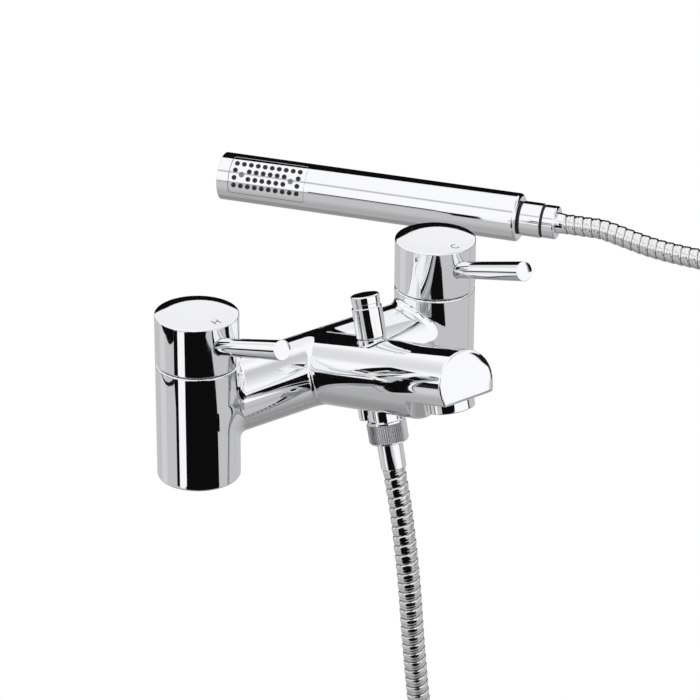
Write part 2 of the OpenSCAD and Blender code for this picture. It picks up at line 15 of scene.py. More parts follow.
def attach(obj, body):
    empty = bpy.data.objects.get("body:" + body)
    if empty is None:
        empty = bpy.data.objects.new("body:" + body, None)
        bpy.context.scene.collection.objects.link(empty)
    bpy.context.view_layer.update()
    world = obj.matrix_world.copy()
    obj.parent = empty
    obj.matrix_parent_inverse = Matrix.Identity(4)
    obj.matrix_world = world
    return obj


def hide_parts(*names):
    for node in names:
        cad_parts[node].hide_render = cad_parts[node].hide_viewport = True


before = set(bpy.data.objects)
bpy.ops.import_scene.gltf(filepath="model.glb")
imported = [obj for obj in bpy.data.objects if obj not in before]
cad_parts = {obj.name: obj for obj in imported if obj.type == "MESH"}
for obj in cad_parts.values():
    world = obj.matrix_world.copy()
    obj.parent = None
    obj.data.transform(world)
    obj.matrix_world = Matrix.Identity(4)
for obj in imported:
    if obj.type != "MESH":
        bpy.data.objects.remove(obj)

MM = 0.001
scene = bpy.context.scene
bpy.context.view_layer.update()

# %% [markdown]
# ## The camera
# The photograph was taken from the front left, about 26 degrees above the deck, with a long lens.
# A camera can be placed by eye, but here its place was solved from the rims of the two pillars,
# so it is written down as angles, a distance and a focal length in picture widths.

# %% Camera
CAMERA_AZIMUTH, CAMERA_ELEVATION, CAMERA_ROLL = 37.904, 25.60, 0.292
CAMERA_DISTANCE, FOCAL_WIDTHS = 2.1300, 3488.0/700
AIM = Vector((0.02394, 0, 0.04809))


def look_from(azimuth, elevation):
    """Unit vector from the object towards the camera."""
    a, e = math.radians(azimuth), math.radians(elevation)
    return Vector((-math.sin(a)*math.cos(e), -math.cos(a)*math.cos(e), math.sin(e)))


camera_data = bpy.data.cameras.new("camera")
camera = bpy.data.objects.new("camera", camera_data)
scene.collection.objects.link(camera)
camera_data.sensor_width = 36.0
camera_data.lens = 36.0*FOCAL_WIDTHS
camera_data.clip_start, camera_data.clip_end = 0.1, 60.0
towards_camera = look_from(CAMERA_AZIMUTH, CAMERA_ELEVATION)
camera.location = AIM + CAMERA_DISTANCE*towards_camera
roll = Matrix.Rotation(math.radians(CAMERA_ROLL), 4, "Z")
camera.rotation_euler = ((-towards_camera).to_track_quat("-Z", "Y").to_matrix().to_4x4() @ roll).to_euler()
scene.camera = camera
scene.view_settings.view_transform = "Standard"
print("lens", round(camera_data.lens, 1), "mm")

# %% [markdown]
# ## Node helpers
# Finishes and repeating shapes are both node trees here. One class keeps a tree and makes its nodes,
# and a second wraps a socket, so that plain Python sums such as `1 - mask*0.5` add the maths nodes.

# %% Node helpers
class Wire:
    """A socket that can be used in Python expressions on values."""

    def __init__(self, net, socket):
        self.net, self.socket = net, socket

    def math(self, operation, *others):
        return self.net.node("ShaderNodeMath", {"operation": operation}, [self, *others])

    def __add__(self, other):
        return self.math("ADD", other)

    def __sub__(self, other):
        return self.math("SUBTRACT", other)

    def __mul__(self, other):
        return self.math("MULTIPLY", other)

    def __truediv__(self, other):
        return self.math("DIVIDE", other)

    def __neg__(self):
        return self.math("MULTIPLY", -1.0)

    def __rsub__(self, other):
        return (-self) + other

    __radd__, __rmul__ = __add__, __mul__

    def smooth(self, low, high):
        """0 below low and 1 above high, with a soft step between them."""
        return self.net.node("ShaderNodeMapRange", {"interpolation_type": "SMOOTHSTEP"},
                             {"Value": self, "From Min": low, "From Max": high})


class Net:
    """A node tree, with one method that makes any node in it."""

    def __init__(self, tree):
        self.tree = tree

    def node(self, kind, settings=None, values=None, out=0):
        made = self.tree.nodes.new(kind)
        for key, value in (settings or {}).items():
            setattr(made, key, value)
        pairs = enumerate(values) if isinstance(values, list) else (values or {}).items()
        for key, value in pairs:
            socket = made.inputs[key]
            if isinstance(value, Wire):
                self.tree.links.new(value.socket, socket)
            else:
                socket.default_value = value
        return Wire(self, made.outputs[out]) if len(made.outputs) else made


def parts_of(net, vector):
    """The three components of a vector, as wires."""
    split = net.node("ShaderNodeSeparateXYZ", None, [vector]).socket.node
    return [Wire(net, split.outputs[i]) for i in range(3)]


def blank_material(name):
    """A material with an empty node tree, and the net that fills it."""
    material = bpy.data.materials.new(name)
    material.use_nodes = True
    material.node_tree.nodes.clear()
    return material, Net(material.node_tree)


# %% [markdown]
# ## Finishes
# Polished chrome over cast brass is a mirror, yet never a perfect one: the casting leaves slow waves
# under the plating, and wiping leaves faint haze. A low bump and a little change in roughness show
# both. The inner parts get turned brass, fired ceramic, rubber, steel and moulded plastic.

# %% Finishes
def finish(name, colour, roughness, metallic=0.0, haze=0.0, haze_size=0.02, wave=0.0, wave_size=0.03,
           grain=0.0, grain_size=0.001, tint=0.0, specular=0.5, groove=0.0):
    """One material: a colour with a slight drift, uneven roughness, and slow waves and fine grain."""
    material, net = blank_material(name)
    place = net.node("ShaderNodeTexCoord", out=3)

    def noise(size, detail=2.0):
        return net.node("ShaderNodeTexNoise", None, {"Vector": place, "Scale": 1/size, "Detail": detail})

    values = {"Metallic": metallic, "Specular IOR Level": specular}
    cloud = noise(haze_size, 4.0)
    values["Roughness"] = cloud.smooth(0.35, 0.75)*haze + roughness
    drift = net.node("ShaderNodeMix", {"data_type": "RGBA"},
                     {0: noise(haze_size*1.7)*tint, 6: (*colour, 1), 7: (*[c*0.6 for c in colour], 1)}, out=2)
    # Painted shade: on request the colour is mixed towards near black by a stored attribute, standing for the
    # shade that falls in the hose's grooves.
    if groove:
        painted_groove_shade = net.node("ShaderNodeAttribute", {"attribute_name": "groove"}, None, out=2)*groove
        drift = net.node("ShaderNodeMix", {"data_type": "RGBA"},
                         {0: painted_groove_shade, 6: drift, 7: (0.02, 0.02, 0.022, 1)}, out=2)
    values["Base Color"] = drift
    height = noise(wave_size, 1.0)*wave + noise(grain_size, 3.0)*grain
    values["Normal"] = net.node("ShaderNodeBump", None, {"Strength": 1.0, "Distance": 1.0, "Height": height})
    shader = net.node("ShaderNodeBsdfPrincipled", None, values)
    net.node("ShaderNodeOutputMaterial", None, [shader])
    return material


chrome = finish("polished_chrome", (0.93, 0.935, 0.945), 0.025, 1.0, haze=0.03, wave=1.2e-5, wave_size=0.022,
                tint=0.03)
# The hose's chrome is darkened towards black in its grooves: painted shade.
hose_chrome = finish("hose_chrome", (0.88, 0.885, 0.89), 0.07, 1.0, haze=0.08, haze_size=0.006,
                     wave=8e-6, wave_size=0.004, tint=0.12, groove=0.85)
brass = finish("turned_brass", (0.80, 0.62, 0.28), 0.22, 1.0, haze=0.2, haze_size=0.005, grain=4e-6,
               grain_size=0.0007, tint=0.25)
ceramic = finish("fired_ceramic", (0.82, 0.81, 0.77), 0.12, haze=0.08, haze_size=0.003, grain=2e-6, tint=0.1)
seal_rubber = finish("seal_rubber", (0.018, 0.018, 0.019), 0.42, haze=0.25, haze_size=0.003, grain=8e-6,
                     grain_size=0.0005, tint=0.4, specular=0.35)
nozzle_rubber = finish("nozzle_rubber", (0.035, 0.036, 0.038), 0.5, haze=0.2, haze_size=0.002, grain=8e-6,
                       grain_size=0.0004, tint=0.35, specular=0.4)
steel = finish("bright_steel", (0.70, 0.71, 0.73), 0.16, 1.0, haze=0.15, haze_size=0.003, grain=3e-6,
               grain_size=0.0005, tint=0.2)
knurled = finish("knurled_chrome", (0.74, 0.745, 0.755), 0.42, 1.0, haze=0.1, haze_size=0.002, grain=4e-6,
                 grain_size=0.0004, tint=0.15)
screw_steel = finish("screw_steel", (0.34, 0.345, 0.36), 0.24, 1.0, haze=0.15, haze_size=0.002, grain=3e-6,
                     grain_size=0.0004, tint=0.2)
moulded_plastic = finish("moulded_plastic", (0.72, 0.73, 0.73), 0.35, haze=0.15, haze_size=0.004, grain=6e-6,
                         grain_size=0.0006, tint=0.12)
engraved = finish("engraved_grey", (0.22, 0.22, 0.23), 0.45, 0.6, haze=0.2, haze_size=0.001, grain=6e-6,
                  grain_size=0.0003, tint=0.3)
print(len(bpy.data.materials), "finishes")

# %% [markdown]
# ## Building solids
# Chrome shows every small error in a normal, so each face corner here is given its exact normal.
# A small collector takes faces with their corner normals, joins equal corners, and makes the piece.

# %% Solid helpers
class Solid:
    """Collects faces as corner points in mm with exact normals, and joins equal corners."""

    def __init__(self):
        self.index, self.points, self.faces, self.normals = {}, [], [], []

    def corner(self, point):
        key = tuple(round(float(v), 4) + 0.0 for v in point)
        if key not in self.index:
            self.index[key] = len(self.points)
            self.points.append(key)
        return self.index[key]

    def face(self, points, normals):
        ids = [self.corner(p) for p in points]
        keep = [i for i in range(len(ids)) if ids[i] != ids[i - 1]]
        if len(keep) > 2:
            self.faces.append([ids[i] for i in keep])
            self.normals.extend(normals[i] for i in keep)


def frame_at(origin, along, across=(1, 0, 0)):
    """Matrix of a local frame in mm: z runs along, x lies as near to across as it can."""
    z = np.array(along, float)/np.linalg.norm(along)
    x = np.array(across, float) - np.dot(across, z)*z
    x /= np.linalg.norm(x)
    placed = np.eye(4)
    placed[:3, 0], placed[:3, 1], placed[:3, 2], placed[:3, 3] = x, np.cross(z, x), z, origin
    return placed


def make_piece(name, points, faces, normals, place, body, slot, material, stands_for=()):
    """A named piece at the origin, with its place in its mesh, riding on a body."""
    points = (np.asarray(points, float) @ place[:3, :3].T + place[:3, 3])*MM
    mesh = bpy.data.meshes.new(name)
    mesh.from_pydata(points.tolist(), [], [list(f) for f in faces])
    mesh.shade_smooth()
    turned = np.asarray(normals, float) @ place[:3, :3].T
    turned /= np.maximum(np.linalg.norm(turned, axis=1, keepdims=True), 1e-9)
    if len(turned) == len(mesh.vertices) and len(turned) != len(mesh.loops):
        mesh.normals_split_custom_set_from_vertices(turned.tolist())
    else:
        mesh.normals_split_custom_set(turned.tolist())
    mesh.materials.append(material)
    made = bpy.data.objects.new(name, mesh)
    scene.collection.objects.link(made)
    print(name, len(faces), "faces")
    return settle(made, body, stands_for)


def settle(made, body, stands_for=()):
    """Ties a piece to its body and the CAD nodes that it stands for."""
    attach(made, body)
    if stands_for:
        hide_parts(*([stands_for] if isinstance(stands_for, str) else stands_for))
    return made


# %% [markdown]
# ## The hose
# The hose is a stripwound steel tube: one folded strip winds round and round, so a tall rib and a low
# rib follow each other along a helix. Modelling turns one by one would be slow to change. A Geometry
# Nodes tree sweeps a circle along the route instead, and pushes each point in by its place on the helix.
# The route is the CAD one: down from the spout, a hanging loop, and back over the deck to the handset.

# %% Hose route
HALF_SPACING, BRIDGE_Z = 90.0, 44.0
RISE = math.radians(16)
SPOUT_ROOT = np.array([0, 0, BRIDGE_Z])
SPOUT_ALONG = np.array([0, -math.cos(RISE), math.sin(RISE)])
SPOUT_UP = np.array([0, math.sin(RISE), math.cos(RISE)])
TUBE_HOME = np.array([168.2, 330, 16.75])
TUBE_YAW = math.radians(-57.2)
TUBE_ALONG = np.array([math.cos(TUBE_YAW), math.sin(TUBE_YAW), 0])
SPOUT_LEN, DIVERTER_S, AERATOR_S, PLUG_S = 147, 60.5, 127.4, 42.7
CONE_LOW, HANDSET_END = -57.3, 252.4
STRAIGHT_START, STRAIGHT_END = 24, 22

hose_start = SPOUT_ROOT + DIVERTER_S*SPOUT_ALONG + CONE_LOW*SPOUT_UP
hose_finish = TUBE_HOME + HANDSET_END*TUBE_ALONG
ROUTE = np.array([
    hose_start, hose_start - STRAIGHT_START*SPOUT_UP,
    [-0.5, -89.6, -60], [2, -93, -112], [8, -94, -166], [18, -95, -220], [33, -96, -273],
    [54, -97, -324], [84, -98, -370], [124, -99, -406], [175, -100, -426], [229, -100, -426],
    [280, -100, -406], [320, -99, -370], [350, -98, -324], [371, -97, -273], [387, -96, -220],
    [399, -96, -166], [408, -96, -112], [412, -92, -60], [408, -75, -12], [392, -42, 11],
    [364, 8, 8], [337, 60, 9.5],
    hose_finish + STRAIGHT_END*TUBE_ALONG, hose_finish - 3.2*TUBE_ALONG])


def along_route(route, step):
    """Points about step apart on the smooth curve through the route, straight in its first and last span."""
    padded = np.vstack([2*route[0] - route[1], route, 2*route[-1] - route[-2]])
    points = []
    for i in range(len(route) - 1):
        a, b, c, d = padded[i:i + 4]
        count = max(2, round(np.linalg.norm(c - b)/step))
        for u in np.arange(count)/count:
            if i in (0, len(route) - 2):
                points.append(b + u*(c - b))
            else:
                points.append(0.5*(2*b + (c - a)*u + (2*a - 5*b + 4*c - d)*u*u + (3*b - 3*c + d - a)*u**3))
    return np.array(points + [route[-1]])


hose_line = along_route(ROUTE, 2.0)
hose_length = np.linalg.norm(np.diff(hose_line, axis=0), axis=1).sum()
print("hose", round(hose_length), "mm long, lowest", round(hose_line[:, 2].min()), "mm")

# %% Tree helpers
SOCKETS = {float: "NodeSocketFloat", int: "NodeSocketInt", "object": "NodeSocketObject",
           "material": "NodeSocketMaterial"}


def start_tree(name, sizes):
    """A Geometry Nodes tree with named inputs, as a net, the geometry that comes in, and wires by name."""
    tree = bpy.data.node_groups.new(name, "GeometryNodeTree")
    tree.interface.new_socket("Geometry", in_out="OUTPUT", socket_type="NodeSocketGeometry")
    tree.interface.new_socket("Geometry", in_out="INPUT", socket_type="NodeSocketGeometry")
    for label, value in sizes.items():
        kind = SOCKETS[value] if isinstance(value, str) else SOCKETS[type(value)]
        socket = tree.interface.new_socket(label, in_out="INPUT", socket_type=kind)
        if not isinstance(value, str):
            socket.default_value = value
    net = Net(tree)
    inputs = tree.nodes.new("NodeGroupInput")
    wires = {s.name: Wire(net, s) for s in inputs.outputs if s.name}
    return net, wires


def end_tree(net, geometry_wire, material_wire):
    """Closes a tree: real geometry, smooth, with its material."""
    real = net.node("GeometryNodeRealizeInstances", None, {"Geometry": geometry_wire})
    smooth = net.node("GeometryNodeSetShadeSmooth", None, {"Geometry": real})
    done = net.node("GeometryNodeSetMaterial", None, {"Geometry": smooth, "Material": material_wire})
    net.node("NodeGroupOutput", None, [done])
    return net.tree


def store(net, geometry_wire, name, value):
    """Keeps a value on every point, under a name."""
    return net.node("GeometryNodeStoreNamedAttribute", {"data_type": "FLOAT", "domain": "POINT"},
                    {"Geometry": geometry_wire, "Name": name, "Value": value})


def recall(net, name):
    """The value that store kept under a name."""
    return net.node("GeometryNodeInputNamedAttribute", {"data_type": "FLOAT"}, {"Name": name})


def baked(source):
    """The plain mesh that a source object gives; the object is taken away."""
    scene.collection.objects.link(source)
    bpy.context.view_layer.update()
    depsgraph = bpy.context.evaluated_depsgraph_get()
    mesh = bpy.data.meshes.new_from_object(source.evaluated_get(depsgraph), depsgraph=depsgraph)
    bpy.data.objects.remove(source)
    return mesh


def grow(name, source, tree, values, place=None):
    """Runs a tree on a source object and keeps the result as a plain mesh in a new object."""
    modifier = source.modifiers.new(tree.name, "NODES")
    modifier.node_group = tree
    for item in tree.interface.items_tree:
        if item.in_out == "INPUT" and item.name in values:
            modifier[item.identifier] = values[item.name]
    mesh = baked(source)
    mesh.name = name
    if place is not None:
        mesh.transform(Matrix(place.tolist()))
    made = bpy.data.objects.new(name, mesh)
    scene.collection.objects.link(made)
    print(name, len(mesh.polygons), "faces")
    return made


# %% Hose tree
def hose_tree():
    net, size = start_tree("ribbed_hose", {"Points": 2000, "Sides": 20, "Radius": 0.007, "Pitch": 0.006,
                                           "Depth": 0.0009, "Material": "material"})
    line = net.node("GeometryNodeResampleCurve", {"mode": "COUNT"},
                    {"Curve": size["Geometry"], "Count": size["Points"]})
    length = net.node("GeometryNodeSplineParameter", out=1)
    line = store(net, line, "along", length)
    circle = net.node("GeometryNodeCurvePrimitiveCircle", {"mode": "RADIUS"},
                      {"Resolution": size["Sides"], "Radius": size["Radius"]})
    turn = net.node("GeometryNodeSplineParameter", out=0)
    circle = store(net, circle, "around", turn)
    tube = net.node("GeometryNodeCurveToMesh", None,
                    {"Curve": line, "Profile Curve": circle, "Fill Caps": True})
    phase = (recall(net, "along")/size["Pitch"] - recall(net, "around") + 0.025).math("FRACT")
    to_lap, to_fold = phase.math("MINIMUM", 1 - phase), (phase - 0.6).math("ABSOLUTE")
    lap, fold = 1 - phase.smooth(0.0, 0.11), 1 - to_fold.smooth(0.0, 0.06)
    dip = (lap + fold*0.2 + phase*phase*phase*0.62)*size["Depth"]
    # Painted shade: the laps of the strip, and its fold more faintly, are marked here for darkening in the
    # colour, standing for the shade in the grooves.
    dark = (1 - to_lap.smooth(0.015, 0.09)).math("MAXIMUM", fold*0.3)
    tube = store(net, tube, "groove", dark)
    normal = net.node("GeometryNodeInputNormal")
    inward = net.node("ShaderNodeVectorMath", {"operation": "SCALE"}, {"Vector": normal, "Scale": -dip})
    tube = net.node("GeometryNodeSetPosition", None, {"Geometry": tube, "Offset": inward})
    return end_tree(net, tube, size["Material"])


RIB_STEPS, HOSE_R = 20, 7.0
rib_points = round(hose_length/6.0)*RIB_STEPS
hose_curve = bpy.data.curves.new("hose_line", "CURVE")
hose_curve.dimensions = "3D"
spline = hose_curve.splines.new("POLY")
spline.points.add(len(hose_line) - 1)
for point, place in zip(spline.points, hose_line*MM):
    point.co = (*place, 1)
hose = grow("hose_ribbed", bpy.data.objects.new("hose_line", hose_curve), hose_tree(), {
    "Points": rib_points + 1, "Sides": RIB_STEPS, "Radius": HOSE_R*MM,
    "Pitch": hose_length/rib_points*RIB_STEPS*MM, "Depth": 1.1*MM, "Material": hose_chrome})
settle(hose, "mixer", "shower_hose")

# %% [markdown]
# ## Turned pieces
# Levers, knob, nuts, collars and the handset's tail are all turned on a lathe in the real mixer, so a
# profile spun round an axis gives them exactly. Each corner of a profile can have a small radius:
# those tiny rounded edges catch the bright lines that make chrome look real.

# %% Lathe
def round_profile(points, closed, arc_steps=5):
    """Profile points with the normals before and after each, corners with a radius being turned to arcs."""
    points = [(*p, 0.0) if len(p) == 2 else p for p in points]
    count, result = len(points), []
    for i, (r, z, radius) in enumerate(points):
        here = np.array([r, z], float)
        before = np.array(points[i - 1][:2], float) - here if closed or i > 0 else None
        after = np.array(points[(i + 1) % count][:2], float) - here if closed or i < count - 1 else None
        n_in = None if before is None else np.array([-before[1], before[0]])/np.linalg.norm(before)
        n_out = None if after is None else np.array([after[1], -after[0]])/np.linalg.norm(after)
        n_in, n_out = (n_out if n_in is None else n_in), (n_in if n_out is None else n_out)
        turn = math.atan2(n_in[0]*n_out[1] - n_in[1]*n_out[0], n_in @ n_out)
        if radius < 0:
            mean = (n_in + n_out)/np.linalg.norm(n_in + n_out)
            result.append((here, mean, mean))
        elif radius == 0 or abs(turn) < 1e-6:
            result.append((here, n_in, n_out))
        else:
            back = radius*math.tan(abs(turn)/2)
            start = here + before/np.linalg.norm(before)*back
            centre = start - n_in*radius*math.copysign(1, turn)
            for k in range(arc_steps + 1):
                a = turn*k/arc_steps
                c, s = math.cos(a), math.sin(a)
                n = np.array([n_in[0]*c - n_in[1]*s, n_in[0]*s + n_in[1]*c])
                result.append((centre + n*radius*math.copysign(1, turn), n, n))
    return result


def dome(r, top, sagitta, steps=6):
    """Profile points of a shallow dome, from its edge to the axis."""
    big = (r*r + sagitta*sagitta)/(2*sagitta)
    return [(x, top - big + math.sqrt(big*big - x*x), -1 if x else 0)
            for x in (r*(1 - i/steps) for i in range(1, steps + 1))]


def spin(solid, profile, closed=False, segments=96, arc_steps=5):
    """Adds a profile spun round z to a solid."""
    rows = round_profile(profile, closed, arc_steps)
    angles = 2*np.pi*np.arange(segments + 1)/segments
    cs, sn = np.cos(angles), np.sin(angles)
    last = len(rows) if closed else len(rows) - 1
    for i in range(last):
        (p, _, n0), (q, n1, _) = rows[i], rows[(i + 1) % len(rows)]
        if np.allclose(p, q, atol=1e-6):
            continue
        for j in range(segments):
            ring = ((p, n0, j), (p, n0, j + 1), (q, n1, j + 1), (q, n1, j))
            solid.face([(a[0]*cs[k], a[0]*sn[k], a[1]) for a, _, k in ring],
                       [(n[0]*cs[k], n[0]*sn[k], n[1]) for _, n, k in ring])
    return solid


def turned(name, profile, place, body, slot, material, stands_for=(), closed=False, segments=96):
    solid = spin(Solid(), profile, closed, segments)
    return make_piece(name, solid.points, solid.faces, solid.normals, place, body, slot, material, stands_for)


def across_spout(s):
    """The frame of a part that stands square to the spout, s along it."""
    return frame_at(SPOUT_ROOT + s*SPOUT_ALONG, SPOUT_UP)


# %% Diverter, aerator and outlet
diverter_at, aerator_at, plug_at = (across_spout(s) for s in (DIVERTER_S, AERATOR_S, PLUG_S))
KNOB_TOP, PAD_N = 50.2, -6.6
turned("knob_grip", [(0, 24.2), (9.1, 24.2, 0.5), (9.1, 42.4, 0.35), (8.3, 42.4, 0.15), (8.3, 44.8, 0.15),
                     (8.6, 44.8, 0.3), (8.6, 49.6, 0.9)] + dome(8.2, KNOB_TOP, 0.5),
       diverter_at, "diverter", "chrome", chrome, "diverter_knob", segments=128)
turned("diverter_collar", [(3.1, 15), (7.4, 15), (7.4, 19.6), (8.6, 19.6), (8.6, 23.4, 0.5), (3.1, 23.4)],
       diverter_at, "mixer", "chrome", chrome, "diverter_bush", closed=True)
turned("aerator_ring", [(10.5, -13.9, 0.3), (14.2, -13.9, 0.7), (14.2, PAD_N, 0.2), (12, PAD_N), (12, 2),
                        (10.5, 2)],
       aerator_at, "mixer", "chrome", chrome, "aerator_housing", closed=True, segments=128)
turned("outlet_pipe", [(5, -35), (9.7, -35, 0.5), (9.7, -19.4), (8, -19.4), (8, -15), (5, -15)],
       diverter_at, "mixer", "chrome", chrome, "outlet_stub", closed=True)
turned("core_boss", [(0, -29), (5.4, -29, 0.9), (5.4, -20.6), (3.72, -20.6), (3.72, -14), (0, -14)],
       plug_at, "mixer", "chrome", chrome, "core_plug")
turned("hose_taper", [(3, -67.3), (3.9, -67.3), (3.9, CONE_LOW), (7.7, CONE_LOW, 0.5), (7.9, -39), (9.3, -39),
                      (9.3, -37), (3, -37)],
       diverter_at, "mixer", "chrome", chrome, "hose_cone", closed=True)

# %% Levers
LEVER_RISE = math.radians(19)
LEVER_ALONG = (0, -math.cos(LEVER_RISE), math.sin(LEVER_RISE))
LEVER_Y, LEVER_Z = -25, 92.6
SIDES = (("hot", -HALF_SPACING), ("cold", HALF_SPACING))
lever_profile = [(0, -10.8), (5.2, -10.8, 0.4), (5.2, 2, -1), (5.98, 62.2, 0.35)] + dome(5.6, 62.5, 0.25)
for side, x in SIDES:
    turned(side + "_lever_bar", lever_profile, frame_at((x, LEVER_Y, LEVER_Z), LEVER_ALONG),
           side + "_handle", "chrome", chrome, side + "_lever")

# %% Handset tail
tail_at = frame_at(TUBE_HOME, TUBE_ALONG, (0, 0, -1))
turned("handset_collar", [(4.5, 209), (7.9, 209), (7.9, 219.8), (12, 219.8, 0.4), (12, 234, 0.4), (8.9, 234),
                          (8.9, 241), (4.5, 241)],
       tail_at, "handset", "chrome", chrome, "handset_connector", closed=True)
turned("handset_union", [(8.98, 235.8), (11.5, 235.8, 0.2), (11.5, 244.6, 1.6), (7.25, 244.6, 0.2),
                         (7.25, 243), (8.98, 243)],
       tail_at, "handset", "chrome", chrome, "handset_nut", closed=True)
turned("handset_hose_end", [(3, 241.2), (8.6, 241.2), (8.6, 242.6), (7.2, 242.6), (7.2, 245.4, -1),
                            (6.8, 249.2, 0.2), (3.9, 249.2), (3.9, 262.4), (3, 262.4)],
       tail_at, "mixer", "chrome", chrome, "handset_ferrule", closed=True)
turned("dark_ring_front", [(8.1, 218), (11.4, 218, 0.3), (11.4, 219.8, 0.3), (8.1, 219.8)],
       tail_at, "handset", "seal_rubber", seal_rubber, "connector_ring", closed=True)
turned("dark_ring_rear", [(9, 234), (11.2, 234, 0.3), (11.2, 235.8, 0.3), (9, 235.8)],
       tail_at, "handset", "seal_rubber", seal_rubber, "nut_ring", closed=True)

# %% [markdown]
# ## Knurled nut, nozzles and screws
# The hose nut is gripped by hand, so fine ridges run round it. Nozzles and screws sit in rows on a
# curved plate. All of them repeat by a rule, so Geometry Nodes place them: one tree puts copies round
# a circle, the other puts copies on a grid that is bent round the handset's axis.

# %% Ring and grid trees
def ring_tree():
    net, size = start_tree("ring_of_copies", {"Count": 60, "Radius": 0.011, "Copy": "object",
                                              "Material": "material"})
    ring = net.node("GeometryNodeMeshCircle", None, {"Vertices": size["Count"], "Radius": size["Radius"]})
    copy = net.node("GeometryNodeObjectInfo", None, {"Object": size["Copy"]}, out=4)
    number = net.node("GeometryNodeInputIndex")
    turn = number*(2*math.pi)/size["Count"]
    angles = net.node("ShaderNodeCombineXYZ", None, {"Z": turn})
    placed = net.node("GeometryNodeInstanceOnPoints", None,
                      {"Points": ring, "Instance": copy, "Rotation": angles})
    return end_tree(net, placed, size["Material"])


def bent_grid_tree():
    net, size = start_tree("bent_grid_of_copies", {
        "Columns": 10, "Rows": 4, "Pitch": 0.0052, "Row Angle": 0.33, "Radius": 0.0165,
        "Inner Skip": 0, "Copy": "object", "Material": "material"})
    grid = net.node("GeometryNodeMeshGrid", None, {
        "Size X": (size["Columns"] - 1)*size["Pitch"], "Size Y": (size["Rows"] - 1)*size["Row Angle"],
        "Vertices X": size["Columns"], "Vertices Y": size["Rows"]})
    flat_x, angle, _ = parts_of(net, net.node("GeometryNodeInputPosition"))
    bent = net.node("ShaderNodeCombineXYZ", None, {
        "X": angle.math("COSINE")*size["Radius"], "Y": angle.math("SINE")*size["Radius"], "Z": flat_x})
    column = flat_x.math("ABSOLUTE")/size["Pitch"]
    outer_row = angle.math("ABSOLUTE").math("GREATER_THAN", size["Row Angle"])
    at_screw = column.math("COMPARE", (size["Columns"] - 1)*0.5 - 1, 0.2)
    skip = at_screw*(1 - outer_row)*size["Inner Skip"]
    grid = store(net, store(net, grid, "turn", angle), "skip", skip)
    grid = net.node("GeometryNodeSetPosition", None, {"Geometry": grid, "Position": bent})
    angles = net.node("ShaderNodeCombineXYZ", None, {"Z": recall(net, "turn")})
    copy = net.node("GeometryNodeObjectInfo", None, {"Object": size["Copy"]}, out=4)
    placed = net.node("GeometryNodeInstanceOnPoints", None, {
        "Points": grid, "Selection": recall(net, "skip").math("LESS_THAN", 0.5), "Instance": copy,
        "Rotation": angles})
    return end_tree(net, placed, size["Material"])


def grow_copies(name, tree, points, faces, values, place, turned_by=np.eye(4)):
    """Copies of one small shape in mm, put in their places by a tree."""
    points = (np.array(points) @ turned_by[:3, :3].T + turned_by[:3, 3])*MM
    mesh = bpy.data.meshes.new(name + "_copy")
    mesh.from_pydata(points.tolist(), [], faces)
    copy = bpy.data.objects.new(name + "_copy", mesh)
    source = bpy.data.objects.new(name + "_source", bpy.data.meshes.new(name + "_source"))
    place = place.copy()
    place[:3, 3] *= MM
    made = grow(name, source, tree, {**values, "Copy": copy}, place)
    bpy.data.objects.remove(copy)
    return made


ring_of_copies, bent_grid = ring_tree(), bent_grid_tree()

# %% Knurled hose nut
NUT_R, NUT_LOW, NUT_TOP, RIDGES = 11.4, -41.0, -27.2, 56
turned("hose_nut_core", [(8.18, NUT_LOW), (NUT_R, NUT_LOW, 0.5), (NUT_R, NUT_TOP, 0.5), (9.8, NUT_TOP),
                         (9.8, NUT_LOW + 1.9), (8.18, NUT_LOW + 1.9)],
       diverter_at, "mixer", "chrome", chrome, "hose_nut", closed=True, segments=128)
RIDGE_LOW, RIDGE_HIGH, RIDGE_TIP, RIDGE_BASE, RIDGE_SLANT = NUT_LOW + 0.9, NUT_TOP - 1.3, 0.55, -0.05, 0.35
half = math.pi*NUT_R/RIDGES*1.02
ridge_points = [(RIDGE_BASE, -half, RIDGE_LOW), (RIDGE_BASE, half, RIDGE_LOW),
                (RIDGE_TIP, 0, RIDGE_LOW + RIDGE_SLANT),
                (RIDGE_BASE, -half, RIDGE_HIGH), (RIDGE_BASE, half, RIDGE_HIGH),
                (RIDGE_TIP, 0, RIDGE_HIGH - RIDGE_SLANT)]
ridge_faces = [(0, 3, 5, 2), (2, 5, 4, 1), (0, 1, 4, 3), (0, 2, 1), (3, 4, 5)]
knurl = grow_copies("hose_nut_knurl", ring_of_copies, ridge_points, ridge_faces,
                    {"Count": RIDGES, "Radius": NUT_R*MM, "Material": knurled}, diverter_at)
knurl.data.shade_flat()
settle(knurl, "mixer")

# %% [markdown]
# ## Shapes from distance fields
# The body is one casting: pillars, bridge and spout run into each other with soft fillets. Joining
# cylinders with booleans leaves hard creases. A signed distance field joins them with a true radius,
# and a surface net then wraps the field in small quads. Every corner is moved onto the exact surface
# and takes its normal from the field, so reflections glide over the joins.

# %% Distance fields
def join(a, b, radius):
    """Union of two fields with a fillet."""
    fillet = np.hypot(np.maximum(radius - a, 0), np.maximum(radius - b, 0))
    return np.maximum(radius, np.minimum(a, b)) - fillet


def cut(a, b, radius=0.0):
    """Field a with b taken away, the new edge being rounded."""
    if radius == 0:
        return np.maximum(a, -b)
    rounding = np.hypot(np.maximum(radius + a, 0), np.maximum(radius - b, 0))
    return np.minimum(-radius, np.maximum(a, -b)) + rounding


def rod(radial, z, low, high, radius=0.0):
    """A cylinder given the distance outside its wall, with rounded edges."""
    a, b = radial + radius, np.maximum(low - z, z - high) + radius
    return np.hypot(np.maximum(a, 0), np.maximum(b, 0)) + np.minimum(np.maximum(a, b), 0) - radius


